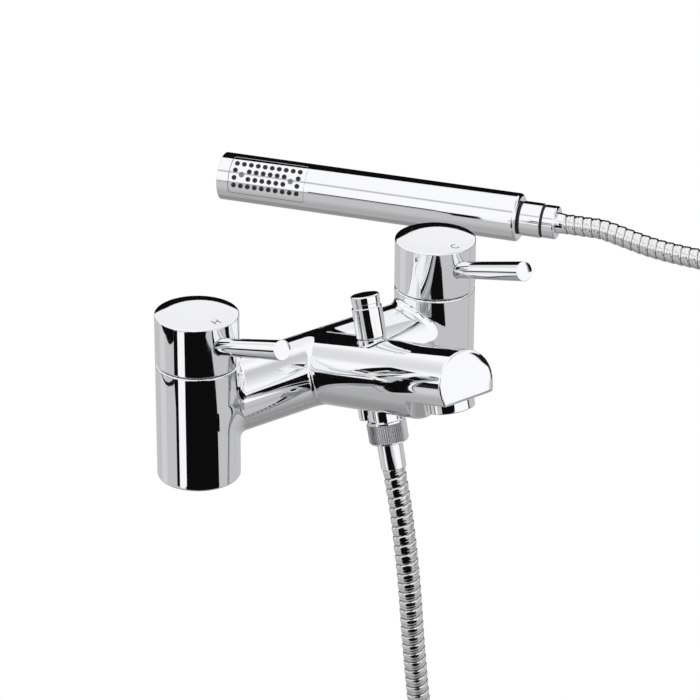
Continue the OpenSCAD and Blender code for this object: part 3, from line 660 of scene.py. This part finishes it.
def two_circles(x, n, top, top_r, low, low_r):
    """Hull of a circle at n = top and one at n = low."""
    x, rise = np.abs(x), np.maximum(top - low, 1e-6)
    lean = np.clip((low_r - top_r)/rise, -0.99, 0.99)
    flat = np.sqrt(1 - lean*lean)
    y = n - low
    side = -lean*x + flat*y
    return np.where(side < 0, np.hypot(x, y) - low_r,
                    np.where(side > flat*rise, np.hypot(x, y - rise) - top_r, x*flat + y*lean - low_r))


PILLAR_R, PILLAR_H, PAD_DRAFT = 25.0, 73.6, 0.07


def body_field(p):
    """The casting: the solid shapes first, then the waterways and sockets as holes."""
    x, y, z = p.T
    side = np.hypot(np.abs(x) - HALF_SPACING, y)
    s = y*SPOUT_ALONG[1] + (z - BRIDGE_Z)*SPOUT_ALONG[2]
    n = y*SPOUT_UP[1] + (z - BRIDGE_Z)*SPOUT_UP[2]
    t = np.clip(s/SPOUT_LEN, 0, 1)
    wall = two_circles(x, n, 2.7*t, 22.2 - 2.5*t, -4.2*t, 22.2 - 4.1*t)
    soft = np.clip(1 + wall/20, 0, 1)
    spout = rod(wall, s + 0.8*soft**8, 0, SPOUT_LEN, 0.9)
    bridge_r = np.hypot(y, z - BRIDGE_Z)
    bridge = np.maximum(bridge_r - 22.5, np.abs(x) - HALF_SPACING)
    shape = join(join(bridge, spout, 2.2), rod(side - PILLAR_R, z, 0, PILLAR_H, 0.8), 3.5)
    aerator_r, outlet_r, plug_r = (np.hypot(s - along, x) for along in (AERATOR_S, DIVERTER_S, PLUG_S))
    shape = cut(shape, rod(aerator_r - 26 + PAD_DRAFT*(n + 18), n, -60, PAD_N), 0.8)
    holes = [rod(side - 12.1, z, -5, 18), rod(side - 6, z, 17, 31), rod(side - 19, z, 30, 59.6),
             rod(side - 10.5, z, 58, 80), rod(side - 15, z, 70.1, 80),
             np.maximum(bridge_r - 13, np.abs(x) - HALF_SPACING),
             rod(np.hypot(x, n + 6) - 8, s, 0, 72), rod(np.hypot(x, n - 12) - 6, s, 52, 133.4),
             rod(outlet_r - 10, n, -15, 3), rod(outlet_r - 6.25, n, 2, 12), rod(outlet_r - 7.5, n, 12, 40),
             rod(outlet_r - 8.7, n, 19.6, 40), rod(outlet_r - 8.1, n, -40, -14),
             rod(outlet_r - 10.1, n, -40, -19.4), rod(plug_r - 3.8, n, -40, -6),
             rod(plug_r - 5.6, n, -40, -20.6), rod(aerator_r - 12.1, n, -7.6, 4),
             rod(aerator_r - 7.5, n, 3, 12)]
    return cut(shape, np.minimum.reduce(holes))


CAP_LOW, CAP_TOP, CAP_R, CAP_DOME, CAP_EDGE = 74.2, 105.8, 25.0, 0.8, 0.6


def cap_field(p):
    """A handle cap about its pillar's axis: domed shell, hub, lever socket and screw hole."""
    x, y, z = p.T
    r = np.hypot(x, y)
    steep = 8*CAP_DOME/CAP_R*(np.minimum(r, CAP_R)/CAP_R)**7
    top = (z - CAP_TOP + CAP_DOME*(np.minimum(r, CAP_R)/CAP_R)**8)/np.sqrt(1 + steep*steep)
    a, b = r - CAP_R + CAP_EDGE, np.maximum(CAP_LOW - z, top) + CAP_EDGE
    outside = np.hypot(np.maximum(a, 0), np.maximum(b, 0)) + np.minimum(np.maximum(a, b), 0) - CAP_EDGE
    lever_s = (y - LEVER_Y)*LEVER_ALONG[1] + (z - LEVER_Z)*LEVER_ALONG[2]
    lever_n = (y - LEVER_Y)*LEVER_ALONG[2] - (z - LEVER_Z)*LEVER_ALONG[1]
    lever_r = np.hypot(x, lever_n)
    roof = CAP_TOP - 5.5
    hollow = cut(rod(r - 22, z, CAP_LOW - 5, roof), rod(r - 8.5, z, 86.1, roof + 2))
    hollow = np.maximum(hollow, -np.maximum(rod(lever_r - 6.7, lever_s, -15, 4), r - 23))
    shape = cut(outside, hollow)
    shape = cut(shape, rod(r - 4, z, 78, roof))
    shape = cut(shape, rod(lever_r - 5.28, lever_s, -11, 20), 0.35)
    return cut(shape, rod(np.hypot(x, z - 91.1) - 2.5, y, 0, 50), 0.3)


# %% Surface net
def slope(field, p, h=0.02):
    return np.stack([field(p + h*e) - field(p - h*e) for e in np.eye(3)], -1)/(2*h)


def surface_net(field, low, high, cell):
    """Quads wrapped round the zero surface of a field, with exact points and normals, in mm."""
    axes = [np.arange(a - 1.5*cell, b + 2.5*cell, cell) for a, b in zip(low, high)]
    shape = tuple(len(a) for a in axes)
    yz = np.stack(np.meshgrid(axes[1], axes[2], indexing="ij"), -1).reshape(-1, 2)
    values = np.stack([field(np.column_stack([np.full(len(yz), x), yz])).reshape(shape[1:]) for x in axes[0]])
    inside = values < 0
    steps = [(i, j, k) for i in (0, 1) for j in (0, 1) for k in (0, 1)]
    total = sum(inside[tuple(slice(i, n - 1 + i) for i, n in zip(o, shape))].astype(np.int8) for o in steps)
    cells = np.argwhere((total > 0) & (total < 8))
    number = np.full(tuple(n - 1 for n in shape), -1, np.int64)
    number[tuple(cells.T)] = np.arange(len(cells))
    at = {o: values[tuple((cells + o).T)] for o in steps}
    summed, hits = np.zeros((len(cells), 3)), np.zeros(len(cells))
    for o in steps:
        for axis in range(3):
            if o[axis] == 0:
                q = tuple(1 if i == axis else o[i] for i in range(3))
                crossing = (at[o] < 0) != (at[q] < 0)
                share = np.where(crossing, at[o]/np.where(crossing, at[o] - at[q], 1), 0)
                summed += crossing[:, None]*(np.array(o) + share[:, None]*(np.array(q) - np.array(o)))
                hits += crossing
    points = np.array([a[0] for a in axes]) + (cells + summed/hits[:, None])*cell
    for _ in range(5):
        g = slope(field, points)
        step = field(points)[:, None]*g/np.maximum((g*g).sum(1, keepdims=True), 0.2)
        points -= np.clip(step, -0.5*cell, 0.5*cell)
    quads = []
    for axis in range(3):
        b, c = (axis + 1) % 3, (axis + 2) % 3
        ahead = np.roll(inside, -1, axis)
        changes = inside != ahead
        changes[tuple(slice(-1, None) if i == axis else slice(None) for i in range(3))] = False
        edges = np.argwhere(changes)
        for across in (b, c):
            edges = edges[(edges[:, across] > 0) & (edges[:, across] < shape[across] - 1)]
        ring = []
        for db, dc in ((0, 0), (-1, 0), (-1, -1), (0, -1)):
            shifted = edges.copy()
            shifted[:, b] += db
            shifted[:, c] += dc
            ring.append(number[tuple(shifted.T)])
        ring = np.stack(ring, -1)
        leaving = inside[tuple(edges.T)]
        quads.append(np.where(leaving[:, None], ring, ring[:, ::-1]))
    normals = slope(field, points)
    return points, np.concatenate(quads), normals


# %% Body
body_mesh = surface_net(body_field, (-115, -147, 0), (115, 25, 106), 1.05)
make_piece("mixer_casting", *body_mesh, np.eye(4), "mixer", "chrome", chrome, "mixer_body")

# %% Handle caps
cap_mesh = surface_net(cap_field, (-25, -25, 74), (25, 25, 106), 0.62)
for side, x in SIDES:
    make_piece(side + "_cap", *cap_mesh, frame_at((x, 0, 0), (0, 0, 1)), side + "_handle", "chrome", chrome,
               side + "_handle_cap")

# %% [markdown]
# ## The hot and cold marks
# A small H and a small C are engraved in front of the middle of the caps, so that they can be read
# from the lever's side. Blender's own letters are turned into a mesh and laid on the domed top.

# %% Marks
def cap_height(x, y):
    return CAP_TOP - CAP_DOME*(math.hypot(x, y)/CAP_R)**8


MARK_Y, MARK_SIZE, MARK_STRETCH = -18.2, 7.0, 1.12
for (side, cap_x), letter, shift in zip(SIDES, "HC", (1.1, 0.4)):
    text = bpy.data.curves.new(side + "_letter", "FONT")
    text.body, text.size, text.align_x, text.align_y = letter, MARK_SIZE, "CENTER", "CENTER"
    text.extrude = 0.05
    mesh = baked(bpy.data.objects.new(side + "_letter", text))
    for vertex in mesh.vertices:
        x, y = vertex.co.x + shift, vertex.co.y*MARK_STRETCH + MARK_Y
        vertex.co = Vector((x + cap_x, y, cap_height(x, y) + vertex.co.z))*MM
    mesh.materials.clear()
    mesh.materials.append(engraved)
    mark = bpy.data.objects.new(side + "_mark", mesh)
    scene.collection.objects.link(mark)
    settle(mark, side + "_handle")
print("marks on", len(SIDES), "caps")

# %% [markdown]
# ## The hand shower
# The tube and its spray plate are one smooth cylinder, parted only by a thin seam with round corners.
# Such a window is easiest to draw flat: the wall is unrolled, its outline and holes are triangulated
# as a flat sheet, and the sheet is then rolled back round the axis with exact radial normals.

# %% Rolled sheets
TUBE_R, BORE_R, TUBE_LEN, COLUMNS = 16.75, 14.25, 218.0, 144
PLATE_LOW, PLATE_HIGH, PLATE_HALF = 8.6, 65.0, math.radians(50)*TUBE_R


def round_box(half_u, low, high, radius, steps=8):
    """Outline of a box with round corners, anticlockwise, with outward normals."""
    middle, half_v = (low + high)/2, (high - low)/2
    points, normals = [], []
    for k, (su, sv) in enumerate(((1, -1), (1, 1), (-1, 1), (-1, -1))):
        for i in range(steps + 1):
            a = math.pi/2*(k - 1 + i/steps)
            c, s = math.cos(a), math.sin(a)
            points.append((su*(half_u - radius) + radius*c, middle + sv*(half_v - radius) + radius*s))
            normals.append((c, s))
    return points, normals


def densify(points, normals, step):
    """More points on the long straight runs of an outline."""
    out_p, out_n = [], []
    for i in range(len(points)):
        p, q = np.array(points[i]), np.array(points[(i + 1) % len(points)])
        count = max(1, int(np.linalg.norm(q - p)//step))
        for k in range(count):
            out_p.append(tuple(p + (q - p)*k/count))
            out_n.append(normals[i])
    return out_p, out_n


def inside_loop(points, loop):
    """Which points lie inside a closed loop."""
    points, loop = np.asarray(points), np.asarray(loop)
    a, b = loop, np.roll(loop, -1, 0)
    x, y = points[:, 0][:, None], points[:, 1][:, None]
    crosses = (a[:, 1] > y) != (b[:, 1] > y)
    reach = a[:, 0] + (y - a[:, 1])*(b[:, 0] - a[:, 0])/np.where(b[:, 1] == a[:, 1], 1e-9, b[:, 1] - a[:, 1])
    return (crosses & (x < reach)).sum(1) % 2 == 1


def far_from(points, loops, gap):
    """Which points lie at least gap away from the corners of all loops."""
    keep = np.ones(len(points), bool)
    for loop in loops:
        apart = points[:, None] - np.asarray(loop)
        keep &= (np.hypot(apart[..., 0], apart[..., 1]) > gap).all(1)
    return keep


def flat_sheet(grid, loops, accept):
    """Triangles of a flat sheet with loops as edges; accept says which triangle middles belong to it."""
    points, edges = [Vector(p) for p in grid], []
    for loop in loops:
        first = len(points)
        points += [Vector(p) for p in loop]
        edges += [(first + i, first + (i + 1) % len(loop)) for i in range(len(loop))]
    made, _, triangles, *_ = geometry.delaunay_2d_cdt(points, edges, [], 0, 1e-5)
    made = np.array([tuple(v) for v in made])
    triangles = np.array([t for t in triangles if len(t) == 3])
    triangles = triangles[accept(made[triangles].mean(1))]
    a, b, c = (made[triangles[:, i]] for i in range(3))
    flip = (b[:, 0] - a[:, 0])*(c[:, 1] - a[:, 1]) - (b[:, 1] - a[:, 1])*(c[:, 0] - a[:, 0]) < 0
    triangles[flip] = triangles[flip][:, ::-1]
    return made, triangles


def rolled(u, z, r):
    a = u/TUBE_R
    return (r*math.cos(a), r*math.sin(a), z)


def radial(u, sign=1):
    a = u/TUBE_R
    return (sign*math.cos(a), sign*math.sin(a), 0)


def roll_sheet(solid, points, triangles, r, outward):
    """Adds a flat sheet rolled to radius r, facing out or in."""
    sign = 1 if outward else -1
    for triangle in triangles:
        corners = [points[i] for i in (triangle if outward else triangle[::-1])]
        solid.face([rolled(u, z, r) for u, z in corners], [radial(u, sign) for u, z in corners])


def roll_band(solid, first, second, turn=1):
    """Adds the band between two rolled loops, each given as points, normals and a radius."""
    count = len(first[0])
    for i in range(count):
        j = (i + 1) % count
        corners = [(first, i), (first, j), (second, j), (second, i)][::turn]
        solid.face([rolled(*points[k], r) for (points, _, r), k in corners],
                   [normals[k] for (_, normals, _), k in corners])


def wall_normals(loop, normals, sign=1, lean=0.0):
    """Normals of the wall along a loop once it is rolled, leaning towards the outside of the tube."""
    turned_round = []
    for (u, _), (across, along) in zip(loop, normals):
        c, s = radial(u)[:2]
        turned_round.append((sign*-s*across + lean*c, sign*c*across + lean*s, sign*along))
    return turned_round


def roll_wall(solid, loop, normals, r_out, r_in, sign):
    """Adds the wall along a loop between two radii; sign 1 faces the loop's outside."""
    facing = wall_normals(loop, normals, sign)
    roll_band(solid, (loop, facing, r_in), (loop, facing, r_out), sign)


# %% Handset tube
window, window_n = densify(*round_box(PLATE_HALF, PLATE_LOW, PLATE_HIGH, 2.4), 2.0)
rows = np.concatenate([[0.3], np.arange(4, 76, 4.0), np.arange(84, 214, 10.0), [TUBE_LEN - 2.5]])
us = (np.arange(COLUMNS + 1)/COLUMNS - 0.5)*2*np.pi*TUBE_R
grid = np.array([(u, z) for z in rows for u in us])
grid = grid[far_from(grid, [window], 0.8)]
sheet_points, sheet_triangles = flat_sheet(grid, [window], lambda m: ~inside_loop(m, window))
tube = Solid()
roll_sheet(tube, sheet_points, sheet_triangles, TUBE_R, True)
roll_sheet(tube, sheet_points, sheet_triangles, BORE_R, False)
roll_wall(tube, window, window_n, TUBE_R, BORE_R, -1)
spin(tube, [(BORE_R, 0.3), (BORE_R, 0), (TUBE_R, 0, 0.3), (TUBE_R, 0.3)], segments=COLUMNS)
spin(tube, [(TUBE_R, TUBE_LEN - 2.5), (TUBE_R, TUBE_LEN, 2.499), (8, TUBE_LEN, 0.2), (8, TUBE_LEN - 2.5),
            (BORE_R, TUBE_LEN - 2.5)], segments=COLUMNS, arc_steps=10)
FACE_TURN = math.radians(270 - 32)
face_x = math.cos(FACE_TURN)*tail_at[:3, 0] + math.sin(FACE_TURN)*tail_at[:3, 1]
plate_at = frame_at(TUBE_HOME, TUBE_ALONG, face_x)
make_piece("handset_barrel", tube.points, tube.faces, tube.normals, plate_at, "handset", "chrome", chrome,
           "handset_tube")

# %% Spray plate
NOZZLE_START, NOZZLE_PITCH, ROW_ANGLE, NOZZLE_COLUMNS = 13.0, 5.2, math.radians(18.4), 10
nozzle_places = [((row - 1.5)*ROW_ANGLE*TUBE_R, NOZZLE_START + column*NOZZLE_PITCH)
                 for row in range(4) for column in range(NOZZLE_COLUMNS)
                 if row in (0, 3) or column not in (1, NOZZLE_COLUMNS - 2)]
screw_places = [(0.0, NOZZLE_START + column*NOZZLE_PITCH) for column in (1, NOZZLE_COLUMNS - 2)]


def circle_loop(centre, r, count=20):
    angles = 2*np.pi*np.arange(count)/count
    ring = [(math.cos(a), math.sin(a)) for a in angles]
    return [(centre[0] + r*c, centre[1] + r*s) for c, s in ring], ring


PLATE_R, PLATE_BACK, PLATE_GAP, PLATE_BEVEL = TUBE_R - 0.08, BORE_R + 0.3, 0.2, 0.25
inset = PLATE_GAP + PLATE_BEVEL
outline, outline_n = densify(*round_box(PLATE_HALF - inset, PLATE_LOW + inset, PLATE_HIGH - inset, 2.0), 2.0)
edge_loop = [(p[0] + n[0]*PLATE_BEVEL, p[1] + n[1]*PLATE_BEVEL) for p, n in zip(outline, outline_n)]
holes = [circle_loop(p, 1.8) for p in nozzle_places] + [circle_loop(p, 2.0, 24) for p in screw_places]
loops = [outline] + [h[0] for h in holes]
us = np.arange(-13.6, 13.7, 0.85)
grid = np.array([(u, z) for z in np.arange(9.6, 64.4, 2.6) for u in us])
grid = grid[far_from(grid, loops, 0.45) & inside_loop(grid, outline)]
for loop in loops[1:]:
    grid = grid[~inside_loop(grid, loop)]


def on_plate(middles):
    keep = inside_loop(middles, outline)
    for loop in loops[1:]:
        keep &= ~inside_loop(middles, loop)
    return keep


plate_points, plate_triangles = flat_sheet(grid, loops, on_plate)
plate = Solid()
roll_sheet(plate, plate_points, plate_triangles, PLATE_R, True)
roll_sheet(plate, plate_points, plate_triangles, PLATE_BACK, False)
inner_r, edge_r = PLATE_R - PLATE_BEVEL, PLATE_BACK + 0.3
roll_band(plate, (edge_loop, wall_normals(edge_loop, outline_n, lean=0.5), inner_r),
          (outline, [radial(u) for u, _ in outline], PLATE_R))
roll_wall(plate, edge_loop, outline_n, inner_r, edge_r, 1)
roll_band(plate, (outline, [radial(u, -1) for u, _ in outline], PLATE_BACK),
          (edge_loop, [radial(u, -1) for u, _ in edge_loop], edge_r))
for loop, ring in holes:
    roll_wall(plate, loop, ring, PLATE_R, PLATE_BACK, -1)
make_piece("spray_face", plate.points, plate.faces, plate.normals, plate_at, "handset", "chrome", chrome,
           "spray_plate")

# %% Nozzles and screws
nozzle = spin(Solid(), [(1.75, 14.1), (1.72, 16.5, 0.1), (1.65, 17.33, 0.3), (0.75, 17.33, 0.15),
                        (0.55, 16.4), (0.55, 14.1)], closed=True, segments=14, arc_steps=2)
facing_out = frame_at((-TUBE_R, 0, 0), (1, 0, 0), (0, 0, 1))
grid_at = plate_at @ frame_at((0, 0, NOZZLE_START + NOZZLE_PITCH*(NOZZLE_COLUMNS - 1)/2), (0, 0, 1))
nozzles = grow_copies("spray_nozzles", bent_grid, nozzle.points, nozzle.faces, {
    "Columns": NOZZLE_COLUMNS, "Rows": 4, "Pitch": NOZZLE_PITCH*MM, "Row Angle": ROW_ANGLE,
    "Radius": TUBE_R*MM, "Inner Skip": 1, "Material": nozzle_rubber}, grid_at, facing_out)
settle(nozzles, "handset")


def screw_field(p):
    """A screw with a cross drive, its axis along z."""
    x, y, z = p.T
    r = np.hypot(x, y)
    head = rod(r - 1.88, z, 15.2, 16.62, 0.3)
    shank = rod(r - 1.2, z, 9.7, 15.8)
    thin, wide = np.minimum(np.abs(x), np.abs(y)), np.maximum(np.abs(x), np.abs(y))
    cross = np.maximum(np.maximum(thin - 0.36, wide - 1.3), 15.7 - z)
    return cut(np.minimum(head, shank), cross, 0.06)


screw_points, screw_quads, _ = surface_net(screw_field, (-2, -2, 9.7), (2, 2, 16.7), 0.16)
screws = grow_copies("plate_screws", bent_grid, screw_points, screw_quads.tolist(), {
    "Columns": 2, "Rows": 1, "Pitch": NOZZLE_PITCH*(NOZZLE_COLUMNS - 3)*MM, "Row Angle": ROW_ANGLE,
    "Radius": TUBE_R*MM, "Inner Skip": 0, "Material": screw_steel}, grid_at, facing_out)
settle(screws, "handset", "spray_screws")

# %% [markdown]
# ## Finishes of the pieces that stay as CAD
# Valves, seals, spring and carriers are hidden inside, and their CAD shapes are right as they are.
# They still get real finishes, because the assembly can be opened or seen from below.

# %% Inner pieces
def pair(name):
    """The names of a piece that both pillars have."""
    return [side + "_" + name for side, _ in SIDES]


INNER = {
    "brass": (brass, [*pair("cartridge_body"), *pair("spindle"), "diverter_piston"]),
    "ceramic": (ceramic, [*pair("fixed_disc"), *pair("moving_disc")]),
    "seal_rubber": (seal_rubber, [*pair("seat_seal"), *pair("base_seal"), *pair("spindle_seals"), "rod_seal",
                                  "piston_seals", "aerator_seal", "hose_washer", "handset_washer"]),
    "steel": (steel, [*pair("grub_screw"), "diverter_rod", "diverter_spring"]),
    "moulded_plastic": (moulded_plastic, ["aerator_insert", "spray_carrier"]),
    "nozzle_rubber": (nozzle_rubber, ["nozzle_pad"]),
    "chrome": (chrome, ["handset_end_plug"]),
}
for slot_name, (material, names) in INNER.items():
    for name in names:
        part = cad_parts[name]
        part.data.materials.clear()
        part.data.materials.append(material)
    print(slot_name, "on", len(names), "inner pieces")

# %% [markdown]
# ## Studio
# Chrome has no colour of its own: what it shows is the room. The photograph's room is white above a
# pale floor, with dark things in front, behind and at the sides, which draw the dark bands. Here the
# far ones are painted on the world by bearing and elevation, in degrees from the camera's side, and
# the near ones are cards. Only reflections see either, and the camera sees plain white.

# %% World
LOOK = math.radians(CAMERA_AZIMUTH)
CARD_OUT = Vector((-math.sin(LOOK), -math.cos(LOOK), 0))
CARD_RIGHT = Vector((math.cos(LOOK), -math.sin(LOOK), 0))
world = bpy.data.worlds.new("studio")
scene.world = world
world.use_nodes = True
world.node_tree.nodes.clear()
net = Net(world.node_tree)
dx, dy, dz = parts_of(net, net.node("ShaderNodeTexCoord", out=0))
elevation = dz.math("ARCSINE")*(180/math.pi)
outward = dx*CARD_OUT.x + dy*CARD_OUT.y
bearing = (dx*CARD_RIGHT.x + dy*CARD_RIGHT.y).math("ARCTAN2", outward)*(180/math.pi)


def band(value, low, high, soft):
    """1 between low and high, falling off softly at both ends."""
    return value.smooth(low - soft, low + soft)*(1 - value.smooth(high - soft, high + soft))


front_left, on_right = band(bearing, -100, -12, 10), band(bearing, 40, 130, 15)
behind = bearing.math("ABSOLUTE").smooth(148, 164)
sky = 1.02 - band(elevation, 39, 46, 3)*front_left*0.5 - elevation.smooth(22, 60)*on_right*0.42
sky = sky - band(elevation, 11, 22, 4)*band(bearing, -140, -105, 6)*0.25
sky = sky - band(elevation, 22, 50, 5)*behind*0.1
ground = 0.56 - (-elevation).smooth(26, 58)*(0.27 - front_left*0.13)
ground = ground - band(elevation, -4, 0, 1)*front_left*0.25
left_glow = band(elevation, -9.3, 1, 0.8)*0.42 + band(elevation, -32, -19, 3)*0.1
ground = ground + left_glow*band(bearing, -119, -95, 3)
low_right = band(bearing, 73, 165, 3)*elevation.smooth(-23, -20)
low_right = low_right*(1 - (elevation + bearing*0.27).smooth(15, 18))
dark_side = (bearing - 80 - (1 - elevation.smooth(0, 3))*9).smooth(-2, 2)*(1 - bearing.smooth(174, 178))
horizon = (elevation + on_right*4).smooth(-1.5, 1.5)
room = sky*horizon + ground*(1 - horizon)*(1 - low_right*0.45)
room = room*(1 - dark_side*band(elevation, -6, 13, 0.8)*0.99)
room = room*(1 - (1 - bearing.smooth(-99, -90))*band(elevation, -18.5, -10.8, 1)*0.97)
seen = net.node("ShaderNodeLightPath", out="Is Camera Ray")
level = seen + (1 - seen)*room
tone = net.node("ShaderNodeCombineColor", None, [level, level, level])
background = net.node("ShaderNodeBackground", None, {"Color": tone, "Strength": 1.0})
net.node("ShaderNodeOutputWorld", None, [background])


# %% Cards and floor
def card_material(name, level):
    """A card that only reflections see: every other ray passes through it."""
    material, net = blank_material(name)
    glossy = net.node("ShaderNodeLightPath", out="Is Glossy Ray")
    clear = net.node("ShaderNodeBsdfTransparent")
    glow = net.node("ShaderNodeEmission", None, {"Color": (level, level, level, 1), "Strength": 1.0})
    net.node("ShaderNodeOutputMaterial", None, [net.node("ShaderNodeMixShader", None, [glossy, clear, glow])])
    return material


def card(name, base, along, corners, level):
    """An upright card: corners are (along, up) from a base point, in mm."""
    points = [(Vector(base) + Vector(along)*run + Vector((0, 0, up)))*MM for run, up in corners]
    mesh = bpy.data.meshes.new(name)
    mesh.from_pydata([tuple(p) for p in points], [], [list(range(len(points)))])
    made = bpy.data.objects.new(name, mesh)
    mesh.materials.append(card_material(name, level))
    scene.collection.objects.link(made)
    made.visible_camera = False
    return made


def box_corners(left, right, low, high):
    return [(left, low), (right, low), (right, high), (left, high)]


BLACK, WHITE = 0.004, 1.0
FRONT_OUT, BACK_OUT, TUBE_CARD_OUT = 341, 600, 140
front_base = Vector((-HALF_SPACING, 0, 0)) + CARD_OUT*FRONT_OUT
card("card_front_black", front_base, CARD_RIGHT,
     [(-220, -420), (560, -420), (560, -335), (500, -240), (405, -175), (286, -108), (160, -66),
      (228, -57), (228, 1), (132, 1), (132, 22), (200, 22), (186, 46), (186, 66), (250, 78), (250, 100),
      (205, 112), (205, 138), (150, 145), (150, 268), (10, 268), (10, 150), (-135, 150), (-135, 45),
      (-97, 30), (-97, -8), (-220, -58)], BLACK)
side_base, side_end = Vector((-291, -13, 0)), Vector((-288.6, 27.2, 0))
white_along = (Vector((-279, -77, 0)) - side_base).normalized()
card("card_side_white", side_base, white_along, box_corners(0, 65, -92, 22), WHITE)
card("card_side_black", side_base, (side_end - side_base).normalized(),
     [(1, -92), (29, -92), (29, -36), (40, -18.5), (40, 22), (1, 22)], BLACK)
flare_along = (Vector((-215, 160, 0)) - side_end).normalized()
card("card_flare_high", side_end, flare_along,
     [(0, 12), (30, 13), (50, 14), (90, 19), (152, 17), (152, 45), (0, 45)], BLACK)
card("card_flare_low", side_end, flare_along,
     [(0, -18.5), (40, -16), (75, -16), (110, -17.5), (150, -20.5), (190, -27), (190, -25.5),
      (150, -18.8), (110, -15.3), (75, -13.3), (40, -12.8), (0, -13.5)], BLACK)
card("card_back_black", -CARD_OUT*BACK_OUT, CARD_RIGHT,
     [(-400, -40), (420, -40), (420, 200), (71, 328), (-140, 388), (-300, 375), (-400, 335)], BLACK)
across_tube = Vector((-TUBE_ALONG[1], TUBE_ALONG[0], 0))
card("card_tube_black", Vector(TUBE_HOME) + across_tube*TUBE_CARD_OUT, TUBE_ALONG,
     box_corners(-160, 420, -20, 120), BLACK)

FLOOR_HALF, FLOOR_GAP = 8, 0.004
floor_mesh = bpy.data.meshes.new("floor")
floor_z = (ROUTE[:, 2].min() - HOSE_R)*MM - FLOOR_GAP
floor_corners = box_corners(-FLOOR_HALF, FLOOR_HALF, -FLOOR_HALF, FLOOR_HALF)
floor_mesh.from_pydata([(x, y, floor_z) for x, y in floor_corners], [], [[0, 1, 2, 3]])
floor = bpy.data.objects.new("floor", floor_mesh)
scene.collection.objects.link(floor)
floor_material, net = blank_material("pale_floor")
is_glossy = net.node("ShaderNodeLightPath", out="Is Glossy Ray")
is_camera = net.node("ShaderNodeLightPath", out="Is Camera Ray")
paper = net.node("ShaderNodeBsdfDiffuse", None, {"Color": (0.6, 0.6, 0.6, 1)})
white = net.node("ShaderNodeEmission", None, {"Color": (1, 1, 1, 1), "Strength": 1.0})
clear = net.node("ShaderNodeBsdfTransparent")
shown = net.node("ShaderNodeMixShader", None, [is_camera, paper, white])
net.node("ShaderNodeOutputMaterial", None, [net.node("ShaderNodeMixShader", None, [is_glossy, shown, clear])])
floor_mesh.materials.append(floor_material)
